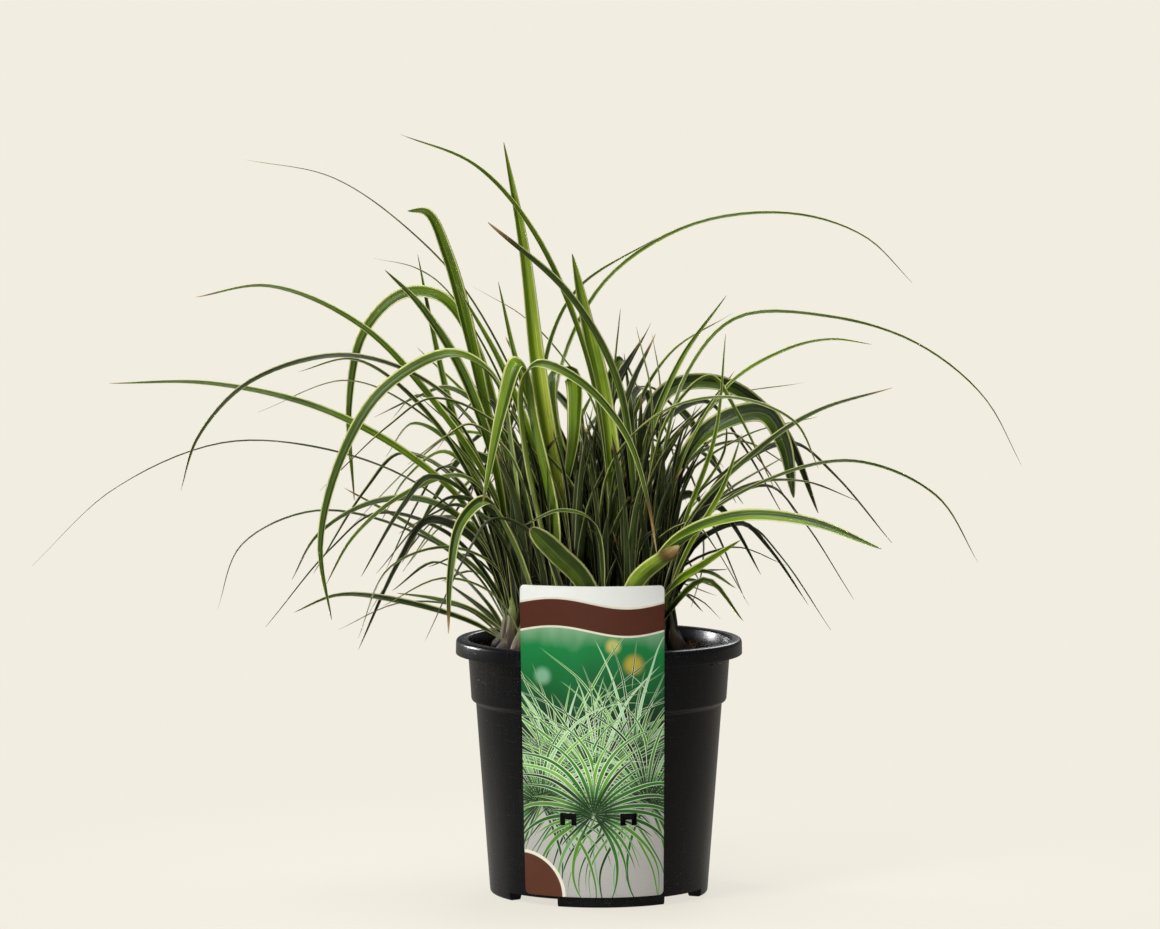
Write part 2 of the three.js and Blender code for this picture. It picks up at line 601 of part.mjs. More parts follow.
const sheaths = stands.map((stand) => {
  const low = stand.z - HOLE_DEPTH + GAP;
  const high = stand.z + SHEATH_HEIGHT;
  const solid = upright(SHEATH_RADIUS, SHEATH_TOP_RADIUS, SHEATH_SIDES, stand.x, stand.y, low, high);
  return obstacleFrom(solid, stand);
});
const obstacles = [obstacleFrom(pot), obstacleFrom(soil), obstacleFrom(label), ...sheaths];

const leaves = LEADING_LEAVES.map((row) => {
  const stand = stands.find(({ name }) => name === `shoot_${row[0]}`);
  return leadingLeaf(row, stand);
});
const draws = stands.map((_, i) => seeded(101 + 37 * i));
const mostFillers = Math.max(...RINGS.map(({ fillers }) => fillers));
for (let number = 0; number < mostFillers; number += 1) {
  stands.forEach((stand, i) => {
    if (number < stand.ring.fillers) leaves.push(fillingLeaf(stand, number, draws[i]));
  });
}
for (const leaf of leaves) {
  const placed = placeLeaf(leaf, obstacles);
  if (placed) obstacles.push(placed);
}

// Joining a shoot keeps its one outer body, without scraps and sealed hollows. Where leaves cross,
// two corners can fall on each other, or very near: then its pieces are nudged a little, and if no
// nudge parts the corners, the shoot goes without its last leaf.
function shootSolid(stand) {
  const pieces = obstacles.filter((other) => other.stand === stand).map(({ solid }) => solid);
  const draw = seeded(NUDGE_SEED);
  const nudge = () => mix(-NUDGE, NUDGE, draw());
  while (pieces.length > 1) {
    for (let tries = 0; tries < NUDGE_TRIES; tries += 1) {
      const nudged = pieces.map((solid) => solid.translate([nudge(), nudge(), nudge()]));
      const bodies = Manifold.union(nudged).simplify(TIDY_TOLERANCE).decompose();
      const body = bodies.reduce((best, other) => (other.volume() > best.volume() ? other : best));
      if (cornersApart(geometryFrom(body))) return body;
    }
    pieces.pop();
  }
  throw new Error(`${stand.name} has corners too close together`);
}

function cornersApart(geometry) {
  geometry.deleteAttribute('normal');
  const merged = mergeVertices(geometry, CORNERS_APART);
  const { position } = geometry.attributes;
  if (merged.attributes.position.count !== position.count) return false;
  const corner = (i) => new THREE.Vector3().fromBufferAttribute(position, geometry.index.getX(i));
  for (let i = 0; i < geometry.index.count; i += 1) {
    const next = i % 3 === 2 ? i - 2 : i + 1;
    if (corner(i).distanceTo(corner(next)) < SHORTEST_EDGE) return false;
  }
  return true;
}

const group = new THREE.Group();

function addPiece(name, solid, color, roughness) {
  const material = new THREE.MeshStandardMaterial({ color, roughness, metalness: 0 });
  const mesh = new THREE.Mesh(geometryFrom(solid), material);
  mesh.name = name;
  group.add(mesh);
}

addPiece('pot', pot, 0x1a1a1b, 0.42);
addPiece('soil', soil, 0x2b1d14, 0.95);
addPiece('label', label, 0xb9b48f, 0.35);
const LEAF_COLOURS = [0x4c6a24, 0x5a7a2a, 0x3d5a1e, 0x6e8c1e, 0x47651f];
stands.forEach((stand, i) => {
  addPiece(stand.name, shootSolid(stand), LEAF_COLOURS[i % LEAF_COLOURS.length], 0.45);
});

export default group;
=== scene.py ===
# %% [markdown]
# # A carex sedge in its nursery pot
# This lesson dresses a plain faceted model of a sedge in a pot. The faceted model is the frame: it says
# where each shoot, the pot, the soil and the plant card are. Every cell below makes one piece or one
# finish, and says why it is made that way. Blender's places are in metres, with Z up. The sizes of the
# real things are named in millimetres, and become metres where a mesh is made.

# %% Load the frame
import math

import bmesh
import bpy
import numpy as np
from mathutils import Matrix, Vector, kdtree, noise


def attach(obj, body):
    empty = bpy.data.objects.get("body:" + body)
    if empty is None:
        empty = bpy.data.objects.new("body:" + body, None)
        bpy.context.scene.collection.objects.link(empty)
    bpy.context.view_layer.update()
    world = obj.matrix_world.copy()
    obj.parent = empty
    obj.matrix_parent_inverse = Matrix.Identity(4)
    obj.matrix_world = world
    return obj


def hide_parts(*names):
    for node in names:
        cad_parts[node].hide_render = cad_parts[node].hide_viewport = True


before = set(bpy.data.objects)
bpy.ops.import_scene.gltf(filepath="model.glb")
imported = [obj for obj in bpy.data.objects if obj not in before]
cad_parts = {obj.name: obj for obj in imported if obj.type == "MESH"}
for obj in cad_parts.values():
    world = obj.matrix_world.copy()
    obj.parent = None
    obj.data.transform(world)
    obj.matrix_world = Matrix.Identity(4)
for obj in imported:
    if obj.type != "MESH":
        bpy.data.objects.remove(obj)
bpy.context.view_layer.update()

MM = 0.001
CROWN_X = -6.0

# %% [markdown]
# ## The camera
# A long lens from far away shows a plant without stretching its near leaves. It stands almost level
# with the top of the pot and looks slightly down, so the soil shows as a narrow band behind the lip.

# %% Place the camera
CAMERA_PLACE = (-0.0113, -2.8, 0.468)
CAMERA_DROP = math.radians(4.34)
CAMERA_LENS = 146.5


def put_in_scene(name, data):
    thing = bpy.data.objects.new(name, data)
    bpy.context.scene.collection.objects.link(thing)
    return thing


camera = put_in_scene("camera", bpy.data.cameras.new("camera"))
camera.data.lens = CAMERA_LENS
camera.location = CAMERA_PLACE
camera.rotation_euler = (math.pi / 2 - CAMERA_DROP, 0, 0)
bpy.context.scene.camera = camera
print("camera at", CAMERA_PLACE)

# %% [markdown]
# ## Helpers for node trees
# Both materials and Geometry Nodes are trees of nodes, and a sum of three values is three nodes. Written
# out, that hides what is being worked out. So the output of a node is wrapped in a small class that knows
# its tree: a sum is then written as on paper, and Python adds the nodes. Colours are given as screen
# codes, such as 3d5a1e, and turned into the linear colours that Blender works in.

# %% Node helpers
class Value:
    """What a node gives. A sum of values adds a node to their tree, and gives its value."""

    def __init__(self, socket):
        self.socket = socket
        self.tree = socket.id_data

    def maths(self, operation, *others):
        return add(self.tree, "ShaderNodeMath", [self, *others], operation=operation)

    def vector(self, operation, *others, output=0):
        return add(self.tree, "ShaderNodeVectorMath", [self, *others], output, operation=operation)

    def scaled(self, factor):
        return add(self.tree, "ShaderNodeVectorMath", {0: self, 3: factor}, operation="SCALE")

    def into(self, kind, **inputs):
        """Sends geometry into a node, and gives what comes out of it."""
        named_inputs = {name.replace("_", " "): value for name, value in inputs.items()}
        return add(self.tree, "GeometryNode" + kind, {0: self, **named_inputs})

    def __add__(self, other):
        return self.maths("ADD", other)

    def __sub__(self, other):
        return self.maths("SUBTRACT", other)

    def __rsub__(self, other):
        return add(self.tree, "ShaderNodeMath", [other, self], operation="SUBTRACT")

    def __mul__(self, other):
        return self.maths("MULTIPLY", other)

    def __truediv__(self, other):
        return self.maths("DIVIDE", other)

    def __abs__(self):
        return self.maths("ABSOLUTE")


def fill(node, inputs):
    """Fills in a node's inputs, by name or in order. A value is linked, and anything else is written in."""
    for name, value in inputs.items() if isinstance(inputs, dict) else enumerate(inputs):
        if isinstance(value, Value):
            node.id_data.links.new(value.socket, node.inputs[name])
        else:
            node.inputs[name].default_value = value


def add(tree, kind, inputs=(), output=0, **settings):
    """Adds one node with its inputs and its settings, and gives one of its outputs."""
    made = tree.nodes.new(kind)
    for name, value in settings.items():
        setattr(made, name, value)
    fill(made, inputs)
    return Value(made.outputs[output])


def values_of(node):
    return {socket.name: Value(socket) for socket in node.outputs}


def fade(value, start, end):
    """Goes softly from 0 at start to 1 at end."""
    return add(value.tree, "ShaderNodeMapRange", [value, start, end], interpolation_type="SMOOTHSTEP")


def between(value, low, high):
    """Turns a value from 0 to 1 into one from low to high."""
    return add(value.tree, "ShaderNodeMapRange", {0: value, 3: low, 4: high})


def swing(value, width):
    """Turns a value round 0.5 into one that swings round 0, as wide as width."""
    return (value - 0.5) * width


def distance(x, y):
    return (x * x + y * y).maths("SQRT")


def grain(vector, scale, detail, roughness=0.5, warp=0.0):
    """Noise, as a value round 0.5."""
    inputs = {"Vector": vector, "Scale": scale, "Detail": detail, "Roughness": roughness}
    return add(vector.tree, "ShaderNodeTexNoise", {**inputs, "Distortion": warp})


def joined(x, y, z):
    return add(x.tree, "ShaderNodeCombineXYZ", [x, y, z])


def split(vector):
    """The three parts of a vector."""
    return values_of(add(vector.tree, "ShaderNodeSeparateXYZ", [vector]).socket.node).values()


def colour(code):
    """The linear colour of a screen colour code."""
    parts = [int(code[i : i + 2], 16) / 255 for i in (0, 2, 4)]
    return (*[p / 12.92 if p < 0.04045 else ((p + 0.055) / 1.055) ** 2.4 for p in parts], 1.0)


def blend(factor, first, second):
    """Two colours mixed by a factor. A colour is a code or a value."""
    first, second = [colour(c) if isinstance(c, str) else c for c in (first, second)]
    return add(factor.tree, "ShaderNodeMix", {0: factor, 6: first, 7: second}, 2, data_type="RGBA")


def ramp(factor, stops):
    """A row of colours, each at its place from 0 to 1."""
    made = add(factor.tree, "ShaderNodeValToRGB", [factor])
    elements = made.socket.node.color_ramp.elements
    while len(elements) < len(stops):
        elements.new(0.5)
    for element, (place, code) in zip(elements, stops.items()):
        element.position = place
        element.color = colour(code)
    return made


def new_group(kind, name, inputs, outputs):
    """An empty node group with named sockets. Gives its tree, its inputs and its last node."""
    tree = bpy.data.node_groups.new(name, kind)
    for way, sockets in (("INPUT", inputs), ("OUTPUT", outputs)):
        for title, sort in sockets.items():
            tree.interface.new_socket(title, in_out=way, socket_type="NodeSocket" + sort)
    return tree, values_of(tree.nodes.new("NodeGroupInput")), tree.nodes.new("NodeGroupOutput")


print("helpers ready, green 3d5a1e is", [round(part, 3) for part in colour("3d5a1e")])

# %% [markdown]
# ## Effects that several finishes share
# A shader node group is made once and placed in each material with its own values. Two are shared here.
# *Long grain* draws the fine parallel veins of a grass leaf, and its streaks of lighter and darker green.
# *Settled dust* is the thin, patchy layer of soil dust that anything in a nursery picks up. Both give
# only values, so that the shader itself stays in each material.

# %% The shared effects
def effect_group(name, vectors, numbers, results):
    """A shader group whose inputs are vectors and numbers, and whose results are all numbers."""
    inputs = {**dict.fromkeys(vectors, "Vector"), **dict.fromkeys(numbers, "Float")}
    return new_group("ShaderNodeTree", name, inputs, dict.fromkeys(results, "Float"))


def long_grain():
    """Veins and streaks along a leaf. Across runs from -1 to 1, and along from 0 to 1."""
    numbers = ("Across", "Along", "Seed", "Veins")
    tree, given, last = effect_group("Long grain", (), numbers, ("Veins", "Streaks", "Blotches"))
    across, along, shift = given["Across"], given["Along"], given["Seed"] * 61.0
    wave = abs((across * given["Veins"] * math.pi).maths("SINE"))
    streaks = grain(joined(across * 4.5, along * 2.2, shift), 1.6, 3.0, 0.6)
    blotches = grain(joined(across * 0.7, along * 7.0, shift), 1.0, 2.0)
    fill(last, {"Veins": wave.maths("POWER", 0.6), "Streaks": streaks, "Blotches": blotches})
    return tree


def settled_dust():
    """Patchy dust, from 0 to 1, with a fine speckle in it."""
    tree, given, last = effect_group("Settled dust", ("Place",), ("Scale",), ("Dust", "Speckle"))
    cloud = grain(given["Place"], given["Scale"], 5.0, 0.62, 0.4)
    speck = grain(given["Place"], given["Scale"] * 42.0, 2.0)
    fill(last, {"Dust": fade(cloud, 0.42, 0.78), "Speckle": fade(speck, 0.6, 0.72)})
    return tree


LONG_GRAIN = long_grain()
SETTLED_DUST = settled_dust()
print("shared effects:", LONG_GRAIN.name, "and", SETTLED_DUST.name)

# %% [markdown]
# ## Helpers for a material
# Every material here starts as one Principled shader. What changes over the surface comes from values that
# the mesh carries, from the place on the object, and from the shared effects. On the part none depends on
# the camera, so it looks the same from every side and can be baked.

# %% Helpers for a material
def new_material(name):
    """A material with its tree and its one shader."""
    material = bpy.data.materials.new(name)
    material.use_nodes = True
    return material, material.node_tree, material.node_tree.nodes["Principled BSDF"]


def attributes(tree, *names):
    """Values that the mesh carries at each point."""
    return [add(tree, "ShaderNodeAttribute", output="Fac", attribute_name=name) for name in names]


def place_of(tree):
    return add(tree, "ShaderNodeTexCoord", output="Object")


def effect(tree, group, inputs):
    """One of the shared effects, with this material's own values."""
    return values_of(add(tree, "ShaderNodeGroup", inputs, node_tree=group).socket.node)


def relief(height, depth, strength):
    """Lets the light read a height as relief of that depth, in metres."""
    inputs = {"Height": height, "Distance": depth, "Strength": strength}
    return add(height.tree, "ShaderNodeBump", inputs)


print("materials so far:", len(bpy.data.materials))

# %% [markdown]
# ## The green of a leaf
# A sedge leaf is dark and leathery, with a thin cream margin, parallel veins and a slightly paler
# underside. It starts pale in its sheath, and many tips have dried to brown and straw. One material does
# all of this, because each leaf's mesh carries its own numbers: how far a point is along and across the
# leaf, how far it is from the margin in millimetres, how light the leaf is, and how much of its tip is
# dry. Painting each leaf by hand would take a day and couldn't be changed afterwards.

# %% Leaf material
def leaf_green(tone, grown, along, under, painted_lit_half):
    """The green of the blade from its sheath to its tip, with painted light on one half of its fold."""
    shade = tone + swing(grown["Streaks"], 0.5) + swing(grown["Blotches"], 0.34)
    # Painted light: one half of the leaf's fold is made lighter or darker than the other.
    shade = shade + painted_lit_half * 0.17 + between(along, 0.1, -0.14)
    green = ramp(shade, {0: "0a0f02", 0.25: "1d2b03", 0.5: "3e5706", 0.75: "72900f", 1: "c2d046"})
    green = blend(under * 0.22, green, "6a7f3c")
    green = blend((1.0 - grown["Veins"]) * 0.2, green, "141f06")
    return blend(fade(along, 0.22, 0.03), green, "a3b25a")


def pale_margin(margin, across, grown):
    """How much of the cream margin shows: a millimetre wide, and less on a narrow leaf."""
    by_size = fade(margin + swing(grown["Blotches"], 0.4), 1.5, 0.85)
    return by_size * fade(1.0 - abs(across), 0.3, 0.16)


def painted_crown_shade(tree):
    """How much painted shade a point gets, deep in the clump: most in the middle, just over the soil."""
    x, y, z = split(place_of(tree))
    return fade(distance(x - CROWN_X * MM, y), 0.085, 0.04) * fade(z, 0.26, 0.19) * 0.8


def make_leaf_material():
    material, tree, shader = new_material("sedge leaf")
    along, across, seed, tone = attributes(tree, "along", "across", "seed", "tone")
    margin, dry, under = attributes(tree, "margin", "dry", "under")
    grown = effect(tree, LONG_GRAIN, {"Across": across, "Along": along, "Seed": seed, "Veins": 4.0})
    # Painted light: the seed picks whether one half of the fold is painted lighter or darker, as if lit from
    # one side.
    painted_lit_half = (seed - 0.5).maths("SIGN") * fade(across, -0.15, 0.15)
    light_tone = fade(tone, 0.05, 0.42)
    rib = fade(abs(across), 0.1, 0.02) * light_tone
    green = blend(rib * 0.35, leaf_green(tone, grown, along, under, painted_lit_half), "8ea23a")
    # Painted shade: the middle of the clump, just over the soil, is mixed towards near black.
    green = blend(painted_crown_shade(tree), green, "0a0f02")
    # Painted shade dims the cream margin too: it fades on the dark-toned leaves of the heart and the front.
    cream = pale_margin(margin, across, grown) * between(light_tone, 0.16, 0.8)
    edged = blend(cream, green, "d9dc8c")
    dried = (1.0 - along + swing(grown["Streaks"], 0.12)) / dry.maths("MAXIMUM", 0.004)
    straw = ramp(dried, {0: "c9b183", 0.4: "9c8049", 0.75: "665028", 1: "474117"})
    brown = fade(dried, 1.25, 0.85)
    gloss = grown["Streaks"] * 0.22 + 0.27 + between(light_tone, 0.2, 0.0) + brown * 0.3 + under * 0.1
    bumps = relief(grown["Streaks"] * 0.6 + grown["Veins"], 0.00016, 0.7)
    fill(shader, {"Base Color": blend(brown, edged, straw), "Roughness": gloss, "Normal": bumps})
    fill(shader, {"Specular IOR Level": 0.3})
    return material


leaf_material = make_leaf_material()
print("made", leaf_material.name)

# %% [markdown]
# ## The sheath at the foot of a shoot
# The lowest leaves of a sedge are reduced to papery sheaths, wrapped tightly round the shoot. They are
# dark purple-brown at the soil and fade through straw to green. They share the leaf's long grain.

# %% Sheath material
def make_sheath_material():
    material, tree, shader = new_material("papery sheath")
    along, across, seed = attributes(tree, "along", "across", "seed")
    grown = effect(tree, LONG_GRAIN, {"Across": across, "Along": along, "Seed": seed, "Veins": 11.0})
    climb = along + swing(grown["Streaks"], 0.7) + swing(seed, 0.5)
    skin = ramp(climb, {0: "1a0f0b", 0.25: "32201a", 0.5: "55432a", 0.75: "7a8742", 1: "82964a"})
    skin = blend((1.0 - grown["Veins"]) * 0.4, skin, "1c120c")
    rough, bumps = between(grown["Streaks"], 0.42, 0.7), relief(grown["Veins"], 0.0002, 0.8)
    fill(shader, {"Base Color": skin, "Roughness": rough, "Normal": bumps})
    return material


sheath_material = make_sheath_material()
print("made", sheath_material.name)

# %% [markdown]
# ## A tree that grows a keeled leaf
# Every leaf is a long strip with the same section: a shallow V with a ridge below, thick at the rib and
# thin at its margins, and rolled up round the shoot at its foot. So the rule is written once, as
# Geometry Nodes. The tree is given only the ribs, as chains of points that carry their own facing, width
# and roll. It sweeps a ring along each rib and then sets every point of the ring where the section says.
# The alternative, modelling one leaf and bending copies of it, would stretch the long leaves.

# %% Geometry Nodes: grow leaves from their ribs
RING_POINTS = 12
WAVINESS = 0.5 * MM


def named(tree, name, kind="FLOAT"):
    """A value that the ribs carry at each point."""
    return add(tree, "GeometryNodeInputNamedAttribute", {"Name": name}, data_type=kind)


def keep(geometry, name, value, domain="POINT"):
    """Keeps a value on the geometry under a name, for its material."""
    inputs = {"Geometry": geometry, "Name": name, "Value": value}
    return add(geometry.tree, "GeometryNodeStoreNamedAttribute", inputs, data_type="FLOAT", domain=domain)


def captured(geometry, value):
    """Keeps a vector on the geometry while it is swept. Gives the geometry and the kept vector."""
    node = geometry.tree.nodes.new("GeometryNodeCaptureAttribute")
    node.capture_items.new("VECTOR", "kept")
    fill(node, [geometry, value])
    return Value(node.outputs[0]), Value(node.outputs[1])


def leaf_section(tree, across, level, ripple):
    """Where a point of the ring goes, beside the rib, from its place across and its level, -1 to 1."""
    half, roll, fold, thickness = [named(tree, name) for name in ("half_width", "roll", "fold", "thickness")]
    side, facing = [named(tree, name, "FLOAT_VECTOR") for name in ("side", "facing")]
    radius, turn, thick = half / roll, across * roll, thickness * level
    sine, cosine = turn.maths("SINE"), turn.maths("COSINE")
    out = radius * sine - thick * sine
    sunk = radius * (roll.maths("COSINE") - cosine)
    valley = fold * (abs(across) - 1.0)
    return side.scaled(out).vector("ADD", facing.scaled(sunk + valley + ripple + thick * cosine))


def leaf_tree():
    inputs = {"Ribs": "Geometry", "Waviness": "Float", "Leaf": "Material", "Sheath": "Material"}
    tree, given, last = new_group("GeometryNodeTree", "Leaves from ribs", inputs, {"Leaves": "Geometry"})
    position = add(tree, "GeometryNodeInputPosition")
    curves, spine = captured(given["Ribs"].into("MeshToCurve"), position)
    circle = add(tree, "GeometryNodeCurvePrimitiveCircle", {"Resolution": RING_POINTS, "Radius": 1.0})
    ring, spot = captured(circle, position)
    leaves = curves.into("CurveToMesh", Profile_Curve=ring, Fill_Caps=True)
    across, level, _ = split(spot)
    ripple = (grain(spine, 70.0, 1.0) - 0.5) * given["Waviness"] * across
    there = spine.vector("ADD", leaf_section(tree, across, level, ripple))
    leaves = leaves.into("SetPosition", Position=there).into("FlipFaces")
    in_mm = (1.0 - abs(across)) * named(tree, "half_width") * (1 / MM)
    for name, value in (("across", across), ("margin", in_mm), ("under", fade(level, 0.2, -0.2))):
        leaves = keep(leaves, name, value)
    papery = named(tree, "papery").maths("GREATER_THAN", 0.5)
    leaves = leaves.into("SetMaterial", Material=given["Leaf"])
    leaves = leaves.into("SetMaterial", Selection=papery, Material=given["Sheath"])
    fill(last, [leaves.into("RealizeInstances").into("SetShadeSmooth")])
    return tree


def evaluated(thing):
    """The mesh of an object, with its modifiers worked out."""
    graph = bpy.context.evaluated_depsgraph_get()
    return bpy.data.meshes.new_from_object(thing.evaluated_get(graph), depsgraph=graph)


def made_plain(source, tree, values, name):
    """Runs a tree on a mesh, with its inputs set by identifier, and gives the result as a plain object."""
    holder = put_in_scene("holder", source)
    modifier = holder.modifiers.new("grow", "NODES")
    modifier.node_group = tree
    for socket in tree.interface.items_tree:
        if socket.in_out == "INPUT" and socket.name in values:
            modifier[socket.identifier] = values[socket.name]
    mesh = evaluated(holder)
    bpy.data.objects.remove(holder)
    mesh.name = name
    return put_in_scene(name, mesh)


LEAF_TREE = leaf_tree()
print("leaf tree:", len(LEAF_TREE.nodes), "nodes")

# %% [markdown]
# ## Where the shoots stand
# The shoots stand in a crown of four rings, and each leaf sets out from its own shoot. The numbers here
# repeat the frame's, because a leaf's curve has to lie in the solid that carries its collision.

# %% The stands
COLLAR_RADIUS = 78.2
SOIL_EDGE_Z = 139.5
SOIL_MOUND = 10.0
RINGS = [
    {"radius": 0.0, "count": 1, "start": 0.0, "fillers": 7, "spread": 180.0},
    {"radius": 15.0, "count": 6, "start": 0.0, "fillers": 6, "spread": 150.0},
    {"radius": 30.0, "count": 12, "start": 15.0, "fillers": 7, "spread": 95.0},
    {"radius": 46.0, "count": 18, "start": 0.0, "fillers": 6, "spread": 70.0},
]


def soil_height(x, y):
    share = math.hypot(x, y) / COLLAR_RADIUS
    return SOIL_EDGE_Z + SOIL_MOUND * (1 - share * share)


def make_stands():
    stands = []
    for level, ring in enumerate(RINGS):
        for place in range(ring["count"]):
            angle = ring["start"] + 360 * place / ring["count"]
            x = CROWN_X + ring["radius"] * math.cos(math.radians(angle))
            y = ring["radius"] * math.sin(math.radians(angle))
            at = np.array([x, y, soil_height(x, y)])
            stands.append({"name": f"{level}_{place:02}", "ring": ring, "angle": angle, "at": at})
    return stands


stands = make_stands()
